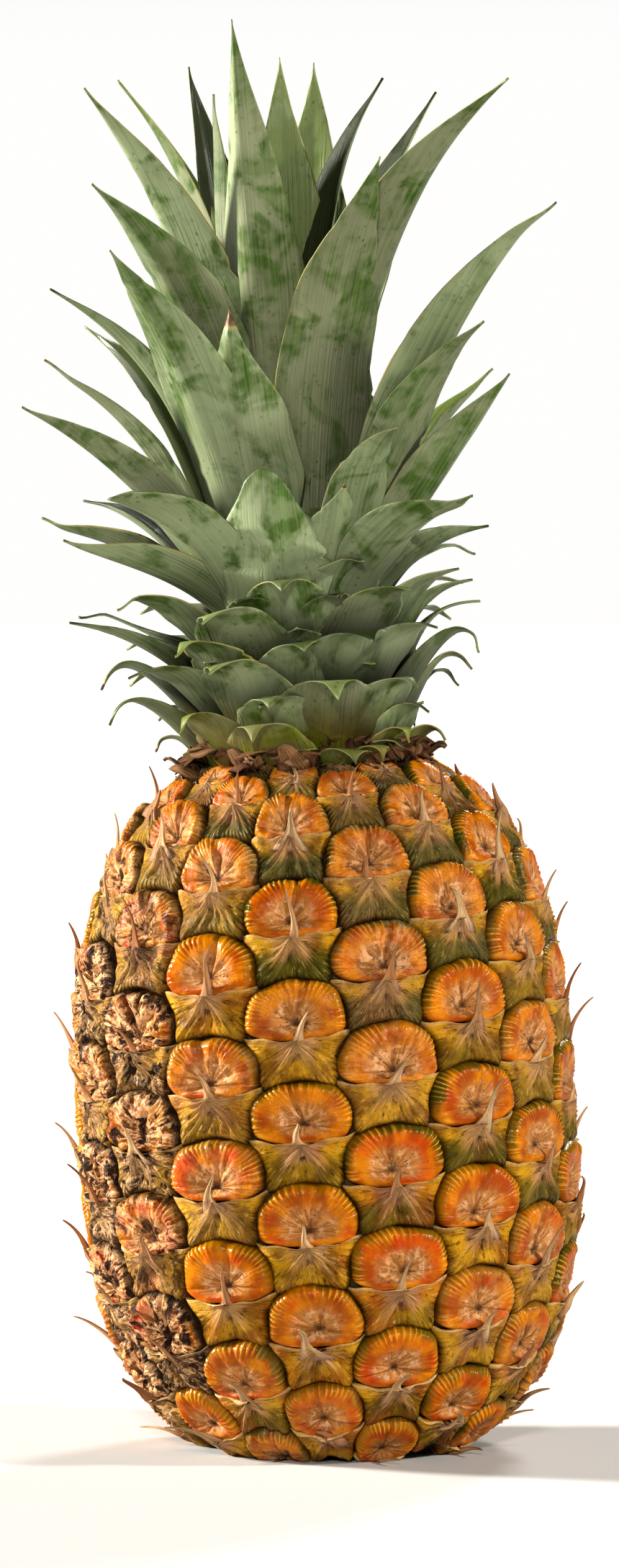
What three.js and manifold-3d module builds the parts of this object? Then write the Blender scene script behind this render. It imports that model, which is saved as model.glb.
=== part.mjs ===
// A whole pineapple standing on its flattened base: the fruit with its eyes and dry spines, the leafy crown,
// the collar of dry bracts between them and the cut stub of the stalk underneath.
// Millimetres, +Z up. The origin is the middle of the cut stalk on the surface that the fruit stands on.
// The plant is modelled upright in a group that leans a little to -X. Its base is cut level with the surface.
import * as THREE from "three";
import { mergeVertices } from "three/addons/utils/BufferGeometryUtils.js";
import Module from "manifold-3d";

const wasm = await Module();
wasm.setup();

const DEGREE = Math.PI / 180;
const GOLDEN_ANGLE = 137.508;
const CLEARANCE = 0.3;

// The fruit: a barrel whose radius follows one power curve below its widest place and another above it.
const FRUIT_RADIUS = 63.2;
const FRUIT_TOP = 179;
const FLAT_TOP_RADIUS = 25;
const WIDEST_AT = 82;
const LOWER_REACH = 88.5;
const UPPER_REACH = 103;
const LOWER_POWER = 2.7;
const UPPER_POWER = 3.3;
const ROUNDNESS = 2.25;
const LEAN = 3.35 * DEGREE;
const LOW_SHOULDER = 0.06;
const LOW_SHOULDER_FROM = 120;
const LOW_SHOULDER_SPAN = 50;

// The eyes: upright columns round the fruit, each raised against the last by the same share of a row.
const COLUMNS = 17;
const COLUMN_RISE = 9 / COLUMNS;
const FIRST_COLUMN = -5.6 * DEGREE;
const ROW_HEIGHT = 25.7;
const FIRST_EYE_HEIGHT = 110;
const LOWEST_EYE_HEIGHT = 0;
const TALLER_AT_BASE = 0.17;
const BASE_LENGTH = 25;
const BASE_FADE = 35;
const SHORTER_AT_TOP = 0.4;
const SHOULDER_LENGTH = 28;
const FLATTER_ROWS = 1.6;
const GROOVE_DEPTH = 1.2;

// The spines: dry, three-sided, one at the middle of each eye.
const SPINE_LENGTH = 12.5;
const SPINE_SPREAD = 0.14;
const SPINE_RISE = 0.75;

// The stalk's cut end.
const STALK_RADIUS = 12.5;
const STALK_DEPTH = 14;

// The crown's stem, and its leaves.
const STEM_RADIUS = 24;
const STEM_HEIGHT = 92;
const ROOT_DEPTH = 4;
const LEAF_THICKNESS = 1.5;
const LEAF_EDGE = 0.7;
const BLADE_TAPER = 0.55;
const TIP_WIDTH = 0.05;
const SHORT_LEAVES = 28;
const SHORT_LEAF_LOWEST = 7;
const SHORT_LEAF_HIGHEST = 42;
const SHORT_LEAF_AZIMUTH = 142;
const SHORT_LEAF_WIDTH = 25;

// The collar: a ring on the fruit's top round the crown's foot, with its bracts.
const COLLAR_INNER = 25;
const COLLAR_OUTER = 30;
const COLLAR_HEIGHT = 2;
const COLLAR_BRACTS = 21;
const COLLAR_BRACT_LENGTH = 8;

// A share from 0 to 1 that looks drawn at random but is the same each run, for thing n and purpose k.
function draw(n, k) {
  const x = Math.sin(n * 12.9898 + k * 78.233) * 43758.5453;
  return x - Math.floor(x);
}

// The same from -1 to 1.
const jitter = (n, k) => 2 * draw(n, k) - 1;

const clamp = (x) => Math.min(1, Math.max(0, x));
const smooth = (x) => clamp(x) * clamp(x) * (3 - 2 * clamp(x));
const mix = (a, b, share) => a + (b - a) * share;

// Radius of the bare fruit at height h on its own axis.
function fruitRadius(h) {
  const above = h > WIDEST_AT;
  const share = Math.abs(h - WIDEST_AT) / (above ? UPPER_REACH : LOWER_REACH);
  const power = above ? UPPER_POWER : LOWER_POWER;
  return FRUIT_RADIUS * Math.pow(Math.max(0, 1 - Math.pow(share, power)), 1 / ROUNDNESS);
}

// The fruit's profile as points evenly spaced along it, from the pole below to the rim of the flat top.
// Each point holds the distance along the profile, radius, height and the eye row that lies there.
function fruitProfile() {
  const steps = 4000;
  const lowest = WIDEST_AT - LOWER_REACH;
  const points = [];
  let along = 0;
  let last = { r: 0, h: lowest };
  for (let i = 0; i <= steps; i++) {
    const h = mix(lowest, FRUIT_TOP, smooth(i / steps));
    const r = fruitRadius(h);
    along += Math.hypot(r - last.r, h - last.h);
    last = { r, h };
    points.push({ along, r, h });
  }
  const total = along;
  let row = 0;
  points.forEach((p, i) => {
    const tall = 1 + TALLER_AT_BASE * Math.exp(-Math.max(0, p.along - BASE_LENGTH) / BASE_FADE);
    const short = 1 - SHORTER_AT_TOP * smooth((p.along - total) / SHOULDER_LENGTH + 1);
    if (i) row += (p.along - points[i - 1].along) / (ROW_HEIGHT * tall * short);
    p.row = row;
  });
  const first = points.find((p) => p.h >= FIRST_EYE_HEIGHT).row;
  points.forEach((p) => (p.row -= first));
  return points;
}

const PROFILE = fruitProfile();
const LOWEST_ROW = PROFILE[0].row;
const HIGHEST_ROW = PROFILE[PROFILE.length - 1].row;
const LOWEST_EYE = PROFILE.find((p) => p.h >= LOWEST_EYE_HEIGHT).row;

// The profile's point at an eye row, by halving.
function profileAt(row) {
  let low = 0;
  let high = PROFILE.length - 1;
  while (high - low > 1) {
    const middle = (low + high) >> 1;
    if (PROFILE[middle].row < row) low = middle;
    else high = middle;
  }
  const a = PROFILE[low];
  const b = PROFILE[high];
  const share = clamp((row - a.row) / (b.row - a.row || 1));
  return { r: mix(a.r, b.r, share), h: mix(a.h, b.h, share) };
}

// A point of the fruit's skin at a column and row, raised by lift along the skin's outward normal.
// The shoulder is lower on the -X side, where the real fruit has dried and shrunk.
function skinPoint(column, row, lift) {
  const angle = FIRST_COLUMN + (column * 2 * Math.PI) / COLUMNS;
  const p = profileAt(row);
  const before = profileAt(row - 0.05);
  const after = profileAt(row + 0.05);
  const length = Math.hypot(after.r - before.r, after.h - before.h) || 1;
  const outR = (after.h - before.h) / length;
  const outH = -(after.r - before.r) / length;
  const low = LOW_SHOULDER * smooth((p.h - LOW_SHOULDER_FROM) / LOW_SHOULDER_SPAN);
  const shrink = 1 - low * (0.5 - 0.5 * Math.sin(angle));
  const r = p.r * shrink + outR * lift;
  return new THREE.Vector3(Math.sin(angle) * r, -Math.cos(angle) * r, p.h + outH * lift);
}

// An eye's outline in the groove, counter-clockwise from its right-hand corner, in columns across and rows up
// from the middle of the bract's upper lip. Each corner and each edge's middle is shared with the neighbour
// that the third and fourth numbers step to, where it is this eye's corner or middle of the same kind.
const CORNER_A = { kind: "A", across: 0.38, up: 0.6 };
const CORNER_B = { kind: "B", across: 0.6, up: 0.1 };
const TOP_EDGE = { kind: "top", across: 0, up: 0.66 };
const RIGHT_EDGE = { kind: "right", across: 0.56, up: 0.38 };
const LEFT_EDGE = { kind: "left", across: -0.56, up: 0.36 };
const OUTLINE = [
  [CORNER_B, 0, 0],
  [RIGHT_EDGE, 0, 0],
  [CORNER_A, 0, 0],
  [TOP_EDGE, 0, 0],
  [CORNER_B, -1, 1],
  [LEFT_EDGE, 0, 0],
  [CORNER_A, -1, 0],
  [RIGHT_EDGE, -1, 0],
  [CORNER_B, -1, 0],
  [TOP_EDGE, 0, -1],
  [CORNER_A, 0, -1],
  [LEFT_EDGE, 1, -1],
];

// The raised ring inside that outline: the cap's rim above, then the bract's edge below. Across, up, lift.
const RIM = [
  [0.46, 0.03, 3],
  [0.47, 0.33, 3],
  [0.31, 0.49, 3.3],
  [0, 0.55, 3.4],
  [-0.32, 0.48, 3.3],
  [-0.47, 0.32, 3],
  [-0.48, 0.02, 3],
  [-0.33, -0.13, 2.4],
  [-0.31, -0.34, 1.8],
  [0, -0.25, 2.2],
  [0.3, -0.32, 1.8],
  [0.33, -0.1, 2.4],
];
const CAP_MIDDLE = [0, 0.27, 1.5];
const BRACT_MIDDLE = [0, -0.13, 3];
const LIP = [
  [0.12, 0.05, 3.6],
  [-0.12, 0.05, 3.6],
];

// A closed triangle mesh as a solid.
function solidOf(positions, triangles) {
  const geometry = new THREE.BufferGeometry();
  geometry.setAttribute("position", new THREE.Float32BufferAttribute(positions, 3));
  geometry.setIndex(triangles);
  const merged = mergeVertices(geometry, 1e-4);
  return new wasm.Manifold(new wasm.Mesh({
    numProp: 3,
    vertProperties: new Float32Array(merged.attributes.position.array),
    triVerts: new Uint32Array(merged.index.array),
  }));
}

// A ready-made three.js geometry as a solid.
function solidOfGeometry(geometry) {
  const bare = geometry.clone();
  bare.deleteAttribute("normal");
  bare.deleteAttribute("uv");
  const merged = mergeVertices(bare, 1e-4);
  return solidOf(Array.from(merged.attributes.position.array), Array.from(merged.index.array));
}

// A solid as a named mesh, at a height.
function nodeOf(name, solid, material, height = 0) {
  const made = solid.getMesh();
  const geometry = new THREE.BufferGeometry();
  geometry.setAttribute("position", new THREE.BufferAttribute(made.vertProperties, 3));
  geometry.setIndex(new THREE.BufferAttribute(made.triVerts, 1));
  geometry.computeVertexNormals();
  const mesh = new THREE.Mesh(geometry, material);
  mesh.name = name;
  mesh.position.z = height;
  return mesh;
}

// The solid's one body, without the gaps that crossing leaves close off inside it and without loose scraps.
const filled = (solid) => solid.decompose().sort((a, b) => b.volume() - a.volume())[0];

// Whether an eye at this row is on the fruit: its outline stays between the base's middle and the flat top.
const hasEye = (row) => row > LOWEST_EYE && row < HIGHEST_ROW - TOP_EDGE.up;

// Eyes are counted by column and by place up it. Past the last column the count starts again, COLUMNS * rise
// higher up.
const rowOf = (column, place) => place + column * COLUMN_RISE;

// The whole skin: every eye's faces, with its spine, then the flat top and the underside.
function fruitSkin() {
  const positions = [];
  const triangles = [];
  const shared = new Map();
  const add = (point) => positions.push(...point.toArray()) / 3 - 1;

  // The vertex of a shared groove point, made once.
  function groove(point, column, place) {
    const turns = Math.floor(column / COLUMNS);
    const key = `${point.kind} ${column - turns * COLUMNS} ${place + turns * COLUMNS * COLUMN_RISE}`;
    if (!shared.has(key)) {
      const row = rowOf(column, place) + point.up;
      shared.set(key, add(skinPoint(column + point.across, row, -GROOVE_DEPTH)));
    }
    return shared.get(key);
  }

  // One eye: a sloping ring from groove to rim, a dished cap, a bract, and the spine on the lip's middle.
  function eye(column, place, number) {
    const row = rowOf(column, place);
    const flatter = smooth((HIGHEST_ROW - row) / FLATTER_ROWS);
    const raised = ([across, up, lift]) => add(skinPoint(column + across, row + up, lift * flatter));
    const outer = OUTLINE.map(([point, right, above]) => groove(point, column + right, place + above));
    const rim = RIM.map(raised);
    const cap = raised(CAP_MIDDLE);
    const bract = raised(BRACT_MIDDLE);
    const lip = LIP.map(raised);
    outer.forEach((corner, i) => {
      const next = (i + 1) % outer.length;
      triangles.push(corner, outer[next], rim[next], corner, rim[next], rim[i]);
    });
    const capRing = [...rim.slice(0, 7), lip[1], lip[0]];
    const bractRing = [...rim.slice(6), rim[0], lip[0], lip[1]];
    capRing.forEach((vertex, i) => triangles.push(cap, vertex, capRing[(i + 1) % capRing.length]));
    bractRing.forEach((vertex, i) => {
      const next = bractRing[(i + 1) % bractRing.length];
      if (vertex === lip[0]) return;
      triangles.push(bract, vertex, next);
    });
    const length = SPINE_LENGTH * mix(0.55, 1, flatter) * (1 + 0.25 * jitter(number, 1));
    const lift = LIP[0][2] * flatter + length * mix(0.38, 0.58, draw(number, 3));
    const sideways = SPINE_SPREAD * jitter(number, 2);
    const point = add(skinPoint(column + sideways, row + (length * SPINE_RISE) / ROW_HEIGHT, lift));
    triangles.push(lip[0], lip[1], point, lip[1], bract, point, bract, lip[0], point);
  }

  let number = 0;
  for (let column = 0; column < COLUMNS; column++) {
    const first = Math.floor(LOWEST_ROW - rowOf(column, 0));
    for (let place = first; rowOf(column, place) < HIGHEST_ROW; place++) {
      if (hasEye(rowOf(column, place))) eye(column, place, number++);
    }
  }
  closeRings(positions, triangles);
  return solidOf(positions, triangles);
}

// Closes the skin's two open rings: the lower one to a point below the base, the upper one to the flat top.
function closeRings(positions, triangles) {
  const following = new Map();
  const edges = new Set();
  for (let i = 0; i < triangles.length; i += 3) {
    for (const k of [0, 1, 2]) edges.add(`${triangles[i + k]} ${triangles[i + ((k + 1) % 3)]}`);
  }
  for (const edge of edges) {
    const [from, to] = edge.split(" ").map(Number);
    if (!edges.has(`${to} ${from}`)) following.set(to, from);
  }
  while (following.size) {
    const ring = [];
    let vertex = following.keys().next().value;
    while (following.has(vertex)) {
      ring.push(vertex);
      const next = following.get(vertex);
      following.delete(vertex);
      vertex = next;
    }
    const isTop = positions[ring[0] * 3 + 2] > WIDEST_AT;
    const add = (x, y, z) => positions.push(x, y, z) / 3 - 1;
    const middle = add(0, 0, isTop ? FRUIT_TOP : WIDEST_AT - LOWER_REACH);
    const inner = !isTop ? ring : ring.map((v) => {
      const angle = Math.atan2(positions[v * 3 + 1], positions[v * 3]);
      return add(Math.cos(angle) * FLAT_TOP_RADIUS, Math.sin(angle) * FLAT_TOP_RADIUS, FRUIT_TOP);
    });
    ring.forEach((v, i) => {
      const next = (i + 1) % ring.length;
      if (isTop) triangles.push(v, ring[next], inner[next], v, inner[next], inner[i]);
      triangles.push(inner[i], inner[next], middle);
    });
  }
}

// A needle of three sides from its sunk root to its point, flattened so that it is widest across.
function needle(root, point, across, width) {
  const along = point.clone().sub(root).normalize();
  const side = across.clone().addScaledVector(along, -across.dot(along)).normalize();
  const out = new THREE.Vector3().crossVectors(side, along);
  const positions = [];
  for (const turn of [90, 210, 330]) {
    const corner = root.clone().addScaledVector(side, (Math.cos(turn * DEGREE) * width) / 2);
    positions.push(...corner.addScaledVector(out, (Math.sin(turn * DEGREE) * width) / 4).toArray());
  }
  positions.push(...point.toArray());
  const triangles = [0, 2, 1, 0, 1, 3, 1, 2, 3, 2, 0, 3];
  const made = solidOf(positions, triangles);
  return made.volume() < 0 ? solidOf(positions, triangles.reverse()) : made;
}

// The fruit with its base cut level and an upright hole for the stalk. Both cuts are turned back, because the
// group leans.
function makeFruit() {
  const wide = 3 * FRUIT_RADIUS;
  const below = new THREE.BoxGeometry(wide, wide, 40).translate(0, 0, -20).rotateY(LEAN);
  const holeRadius = STALK_RADIUS + CLEARANCE;
  const hole = new THREE.CylinderGeometry(holeRadius, holeRadius, 2 * STALK_DEPTH, 20);
  hole.rotateX(Math.PI / 2).rotateY(LEAN);
  return filled(fruitSkin().subtract(solidOfGeometry(below)).subtract(solidOfGeometry(hole)));
}

// The stub of the stalk, flush with the base, a little narrower at its cut end.
function makeStalk() {
  const profile = [
    new THREE.Vector2(0, 0),
    new THREE.Vector2(STALK_RADIUS - 1.2, 0),
    new THREE.Vector2(STALK_RADIUS, 2),
    new THREE.Vector2(STALK_RADIUS, STALK_DEPTH - CLEARANCE),
    new THREE.Vector2(0, STALK_DEPTH - CLEARANCE),
  ];
  return solidOfGeometry(new THREE.LatheGeometry(profile, 20).rotateX(Math.PI / 2));
}

// The long leaves, as seen from the front, each chosen by eye. An azimuth of 0 faces the viewer and 90 is to
// the viewer's right. Root and tip are heights above the crown's foot, reach is the tip's distance from the
// axis, and the two leans are the leaf's angles from upright where it leaves the stem and at its tip. A blunt
// leaf has lost its point: its end is that share of its width.
const LONG_LEAVES = [
  { azimuth: -20, root: 70, reach: 22.5, tip: 192.5, width: 27, leanOut: 5, leanTip: 4 },
  { azimuth: 168, root: 74, reach: 18, tip: 185, width: 24, leanOut: 5, leanTip: 3 },
  { azimuth: 150, root: 72, reach: 27, tip: 183, width: 26, leanOut: 5, leanTip: 10 },
  { azimuth: 120, root: 72, reach: 35.5, tip: 178, width: 22, leanOut: 6, leanTip: 37 },
  { azimuth: 115, root: 66, reach: 50, tip: 173, width: 25, leanOut: 12, leanTip: 39 },
  { azimuth: 48, root: 66, reach: 83, tip: 171, width: 26, leanOut: 14, leanTip: 62 },
  { azimuth: 55, root: 58, reach: 87, tip: 141, width: 23, leanOut: 40, leanTip: 54 },
  { azimuth: 30, root: 60, reach: 57, tip: 153, width: 27, leanOut: 10, leanTip: 46 },
  { azimuth: 50, root: 54, reach: 68, tip: 111, width: 21, leanOut: 42, leanTip: 62 },
  { azimuth: 70, root: 50, reach: 62.5, tip: 97.5, width: 18, leanOut: 54, leanTip: 42 },
  { azimuth: 35, root: 46, reach: 50, tip: 86, width: 18, leanOut: 46, leanTip: 68 },
  { azimuth: -25, root: 55, reach: 32, tip: 119, width: 25, leanOut: 17, leanTip: 1 },
  { azimuth: -12, root: 44, reach: 32, tip: 77, width: 22, leanOut: 30, leanTip: 4, blunt: 0.3 },
  { azimuth: 25, root: 47, reach: 34, tip: 72, width: 18, leanOut: 30, leanTip: 14 },
  { azimuth: -75, root: 70, reach: 14, tip: 175, width: 20, leanOut: 6, leanTip: -4 },
  { azimuth: -135, root: 72, reach: 28, tip: 184, width: 20, leanOut: 5, leanTip: 6 },
  { azimuth: -110, root: 68, reach: 41.5, tip: 181, width: 20, leanOut: 8, leanTip: 38 },
  { azimuth: -62, root: 64, reach: 53, tip: 177, width: 28, leanOut: 10, leanTip: 38 },
  { azimuth: -52, root: 58, reach: 58, tip: 152, width: 26, leanOut: 12, leanTip: 50 },
  { azimuth: -45, root: 50, reach: 60, tip: 134, width: 25, leanOut: 18, leanTip: 44 },
  { azimuth: -80, root: 52, reach: 60, tip: 126.5, width: 15, leanOut: 14, leanTip: 58 },
  { azimuth: -82, root: 48, reach: 63, tip: 107, width: 15, leanOut: 28, leanTip: 61 },
  { azimuth: -72, root: 46, reach: 71, tip: 96.5, width: 18, leanOut: 36, leanTip: 58 },
  { azimuth: -50, root: 38, reach: 60, tip: 71, width: 24, leanOut: 24, leanTip: 77, blunt: 0.3 },
  { azimuth: 45, root: 41, reach: 66, tip: 64.5, width: 20, leanOut: 38, leanTip: 86 },
  { azimuth: 80, root: 41, reach: 52, tip: 58.5, width: 20, leanOut: 40, leanTip: 84 },
  { azimuth: -95, root: 43, reach: 66, tip: 66, width: 18, leanOut: 44, leanTip: 74 },
  { azimuth: -70, root: 40, reach: 63, tip: 61, width: 20, leanOut: 40, leanTip: 66 },
  { azimuth: 140, root: 58, reach: 60, tip: 151, width: 24, leanOut: 14, leanTip: 44 },
  { azimuth: 178, root: 62, reach: 52, tip: 160, width: 26, leanOut: 14, leanTip: 32 },
  { azimuth: -156, root: 57, reach: 60, tip: 143, width: 24, leanOut: 18, leanTip: 46 },
  { azimuth: -128, root: 51, reach: 66, tip: 118, width: 21, leanOut: 28, leanTip: 56 },
  { azimuth: 160, root: 49, reach: 67, tip: 113, width: 22, leanOut: 30, leanTip: 56 },
  { azimuth: 120, root: 46, reach: 65, tip: 99, width: 20, leanOut: 36, leanTip: 60 },
  { azimuth: -172, root: 44, reach: 66, tip: 92, width: 21, leanOut: 36, leanTip: 64 },
  { azimuth: -118, root: 39, reach: 62, tip: 72, width: 20, leanOut: 40, leanTip: 74 },
  { azimuth: 110, root: 80, reach: 7, tip: 132, width: 15, leanOut: 2, leanTip: 3 },
  { azimuth: -170, root: 80, reach: 9, tip: 140, width: 15, leanOut: 3, leanTip: 4 },
];

// The short leaves wind up the stem's foot a golden angle apart. The lowest are the shortest and hang their
// tips, and each next one reaches a little further and stands a little more upright.
function shortLeaf(n) {
  const share = n / (SHORT_LEAVES - 1);
  const root = mix(SHORT_LEAF_LOWEST, SHORT_LEAF_HIGHEST, share);
  return {
    azimuth: SHORT_LEAF_AZIMUTH + n * GOLDEN_ANGLE + 5 * jitter(n, 11),
    root,
    reach: mix(39, 54, smooth(share * 2.5)) + 3 * jitter(n, 12),
    tip: root + mix(0, 13, share) + 1.5 * jitter(n, 13),
    width: SHORT_LEAF_WIDTH + 2 * jitter(n, 14),
    leanOut: mix(50, 40, share),
    leanTip: mix(128, 84, share) + 8 * jitter(n, 16),
  };
}

// The stem's radius at a height above the crown's foot.
const stemRadius = (h) => STEM_RADIUS * Math.sqrt(1 - clamp(h / STEM_HEIGHT) ** 2);

// How wide a blade is, as a share of its widest, from root to tip.
function bladeWidth(share) {
  const towardsTip = Math.sin((Math.PI / 2) * Math.min(1, (1 - share) / BLADE_TAPER));
  return Math.min(1, 0.6 + 1.2 * share) * Math.pow(towardsTip, 1.15);
}

// A leaf: a blade carried along a curve in the upright plane at its azimuth. It is channelled, its edges
// raised towards the stem, thick along its middle and thin at its edges, and it tapers to a point.
function leafSolid(leaf, segments) {
  const facing = leaf.azimuth * DEGREE;
  const outwards = new THREE.Vector3(Math.sin(facing), -Math.cos(facing), 0);
  const across = new THREE.Vector3(Math.cos(facing), Math.sin(facing), 0);
  const up = new THREE.Vector3(0, 0, 1);
  const place = (r, h) => outwards.clone().multiplyScalar(r).addScaledVector(up, h);
  const heading = (lean) => place(Math.sin(lean * DEGREE), Math.cos(lean * DEGREE));
  const root = place(stemRadius(leaf.root) - ROOT_DEPTH, leaf.root - ROOT_DEPTH / 2);
  const tip = place(leaf.reach, leaf.tip);
  const pull = root.distanceTo(tip) * 0.38;
  const curve = new THREE.CubicBezierCurve3(
    root,
    root.clone().addScaledVector(heading(leaf.leanOut), pull),
    tip.clone().addScaledVector(heading(leaf.leanTip), -pull),
    tip,
  );
  const positions = [];
  for (let i = 0; i <= segments; i++) {
    const share = i / segments;
    const middle = curve.getPoint(share);
    const along = curve.getTangent(share);
    const inner = new THREE.Vector3().crossVectors(across, along).normalize();
    const half = (leaf.width / 2) * Math.max(leaf.blunt ?? TIP_WIDTH, bladeWidth(share));
    const cup = half * (0.22 + 0.8 * share * (1 - share) + 0.1 * share);
    const thick = mix(LEAF_THICKNESS, LEAF_EDGE, share);
    for (const side of [-1, 0, 1]) {
      const lift = side ? cup : 0;
      const edge = side ? LEAF_EDGE : thick;
      for (const face of [0, 1]) {
        const point = middle.clone().addScaledVector(across, side * half);
        positions.push(...point.addScaledVector(inner, lift + face * edge).toArray());
      }
    }
  }
  const at = (i, side, face) => i * 6 + side * 2 + face;
  const triangles = [];
  const quad = (a, b, c, d) => triangles.push(a, b, c, a, c, d);
  for (let i = 0; i < segments; i++) {
    for (const s of [0, 1]) {
      quad(at(i, s, 0), at(i, s + 1, 0), at(i + 1, s + 1, 0), at(i + 1, s, 0));
      triangles.push(at(i, s, 1), at(i + 1, s + 1, 1), at(i, s + 1, 1));
      triangles.push(at(i, s, 1), at(i + 1, s, 1), at(i + 1, s + 1, 1));
    }
    quad(at(i, 0, 1), at(i, 0, 0), at(i + 1, 0, 0), at(i + 1, 0, 1));
    quad(at(i, 2, 0), at(i, 2, 1), at(i + 1, 2, 1), at(i + 1, 2, 0));
  }
  for (const s of [0, 1]) {
    quad(at(0, s, 1), at(0, s + 1, 1), at(0, s + 1, 0), at(0, s, 0));
    quad(at(segments, s, 0), at(segments, s + 1, 0), at(segments, s + 1, 1), at(segments, s, 1));
  }
  const made = solidOf(positions, triangles);
  return made.volume() < 0 ? solidOf(positions, triangles.reverse()) : made;
}

// The stem: a tapering core that the leaves grow from.
function stemCore() {
  const steps = 7;
  const profile = [new THREE.Vector2(0, 0)];
  for (let i = 0; i <= steps; i++) {
    const h = (STEM_HEIGHT * i) / steps;
    profile.push(new THREE.Vector2(stemRadius(h), h));
  }
  profile.push(new THREE.Vector2(0, STEM_HEIGHT + 3));
  return solidOfGeometry(new THREE.LatheGeometry(profile, 14).rotateX(Math.PI / 2));
}

function makeCrown() {
  const short = Array.from({ length: SHORT_LEAVES }, (_, n) => leafSolid(shortLeaf(n), 4));
  const long = LONG_LEAVES.map((leaf) => leafSolid(leaf, 6));
  return filled(wasm.Manifold.union([stemCore(), ...short, ...long]));
}

// The collar's ring with its little bracts, which stand up and curl outwards.
function makeCollar() {
  const profile = [
    new THREE.Vector2(COLLAR_INNER, 0),
    new THREE.Vector2(COLLAR_OUTER, 0),
    new THREE.Vector2(COLLAR_OUTER - 1, COLLAR_HEIGHT),
    new THREE.Vector2(COLLAR_INNER, COLLAR_HEIGHT),
    new THREE.Vector2(COLLAR_INNER, 0),
  ];
  const ring = solidOfGeometry(new THREE.LatheGeometry(profile, 21).rotateX(Math.PI / 2));
  const bracts = Array.from({ length: COLLAR_BRACTS }, (_, n) => {
    const facing = (n * 2 * Math.PI) / COLLAR_BRACTS + 0.1 * jitter(n, 21);
    const at = (r, h) => new THREE.Vector3(Math.sin(facing) * r, -Math.cos(facing) * r, h);
    const across = new THREE.Vector3(Math.cos(facing), Math.sin(facing), 0);
    const length = COLLAR_BRACT_LENGTH * mix(0.8, 1.1, draw(n, 22));
    const point = at(COLLAR_OUTER + length, COLLAR_HEIGHT * mix(0.8, 1.8, draw(n, 23)));
    return needle(at(COLLAR_OUTER - 3, COLLAR_HEIGHT / 2), point, across, COLLAR_BRACT_LENGTH);
  });
  return filled(wasm.Manifold.union([ring, ...bracts]));
}

const finish = (color, roughness) => new THREE.MeshStandardMaterial({ color, roughness, metalness: 0 });

const plant = new THREE.Group();
plant.rotation.y = -LEAN;
plant.add(nodeOf("fruit", makeFruit(), finish(0xc77d16, 0.45)));
plant.add(nodeOf("bract_collar", makeCollar(), finish(0x8c5a35, 0.75), FRUIT_TOP + CLEARANCE));
plant.add(nodeOf("crown", makeCrown(), finish(0x6f8262, 0.6), FRUIT_TOP + CLEARANCE));

const group = new THREE.Group();
group.name = "pineapple";
group.add(plant, nodeOf("stem_stub", makeStalk(), finish(0xa98a5c, 0.8)));
export default group;
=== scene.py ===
import math

import bpy
import numpy as np
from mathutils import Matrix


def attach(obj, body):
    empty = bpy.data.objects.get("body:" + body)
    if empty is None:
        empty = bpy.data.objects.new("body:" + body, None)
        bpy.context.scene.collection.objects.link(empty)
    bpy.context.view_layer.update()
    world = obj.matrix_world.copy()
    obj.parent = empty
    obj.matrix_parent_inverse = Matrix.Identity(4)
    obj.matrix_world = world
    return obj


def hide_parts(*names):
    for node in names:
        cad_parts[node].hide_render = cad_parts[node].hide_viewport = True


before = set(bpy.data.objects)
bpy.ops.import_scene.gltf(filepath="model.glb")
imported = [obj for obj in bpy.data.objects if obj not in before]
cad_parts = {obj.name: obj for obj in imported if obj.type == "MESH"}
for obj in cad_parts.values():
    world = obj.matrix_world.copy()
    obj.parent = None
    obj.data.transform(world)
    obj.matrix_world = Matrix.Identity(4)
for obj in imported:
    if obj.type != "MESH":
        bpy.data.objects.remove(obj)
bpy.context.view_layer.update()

DEGREE = math.pi / 180
GOLDEN_ANGLE = 137.508
CLEARANCE = 0.3

# The fruit's barrel and its lattice of eyes, as in the solids, but for a radius 0.8 mm smaller: the caps stand
# higher here.
FRUIT_RADIUS = 62.4
FRUIT_TOP = 179.0
WIDEST_AT = 82.0
LOWER_REACH = 88.5
UPPER_REACH = 103.0
LOWER_POWER = 2.7
UPPER_POWER = 3.3
ROUNDNESS = 2.25
LEAN = 3.35 * DEGREE
LOW_SHOULDER = 0.06
LOW_SHOULDER_FROM = 120.0
LOW_SHOULDER_SPAN = 50.0
COLUMNS = 17
COLUMN_RISE = 9 / COLUMNS
FIRST_COLUMN = -5.6 * DEGREE
ROW_HEIGHT = 25.7
FIRST_EYE_HEIGHT = 110.0
TALLER_AT_BASE = 0.17
BASE_LENGTH = 25.0
BASE_FADE = 35.0
SHORTER_AT_TOP = 0.4
SHOULDER_LENGTH = 28.0
FLATTER_ROWS = 1.6
EYE_TOP = 0.66
GROOVE_DEPTH = 1.2
SPINE_LENGTH = 12.5
SPINE_RISE = 0.75
SPINE_FOOT_LIFT = 3.6
COLLAR_PIECES = 150
COLLAR_RINGS = 5
STALK_RADIUS = 12.5
STALK_DEPTH = 14.0

# The crown, as in the solids.
STEM_RADIUS = 24.0
STEM_HEIGHT = 92.0
ROOT_DEPTH = 4.0
LEAF_THICKNESS = 1.5
LEAF_EDGE = 0.7
BLADE_TAPER = 0.55


# The camera's place and target in metres and its lens in millimetres, and how far the floor reaches, in metres.
CAMERA = (-0.0094, -1.899, 0.2397)
CAMERA_TARGET = (-0.0094, 0.0, 0.1734)
CAMERA_LENS = 167
FLOOR_REACH = 16.0


# Numbers


def draw(n, k):
    """A share from 0 to 1 that looks drawn at random but is the same each run, for thing n and purpose k."""
    x = np.sin(np.asarray(n) * 12.9898 + k * 78.233) * 43758.5453
    return x - np.floor(x)


def jitter(n, k):
    """The same from -1 to 1."""
    return 2 * draw(n, k) - 1


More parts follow.
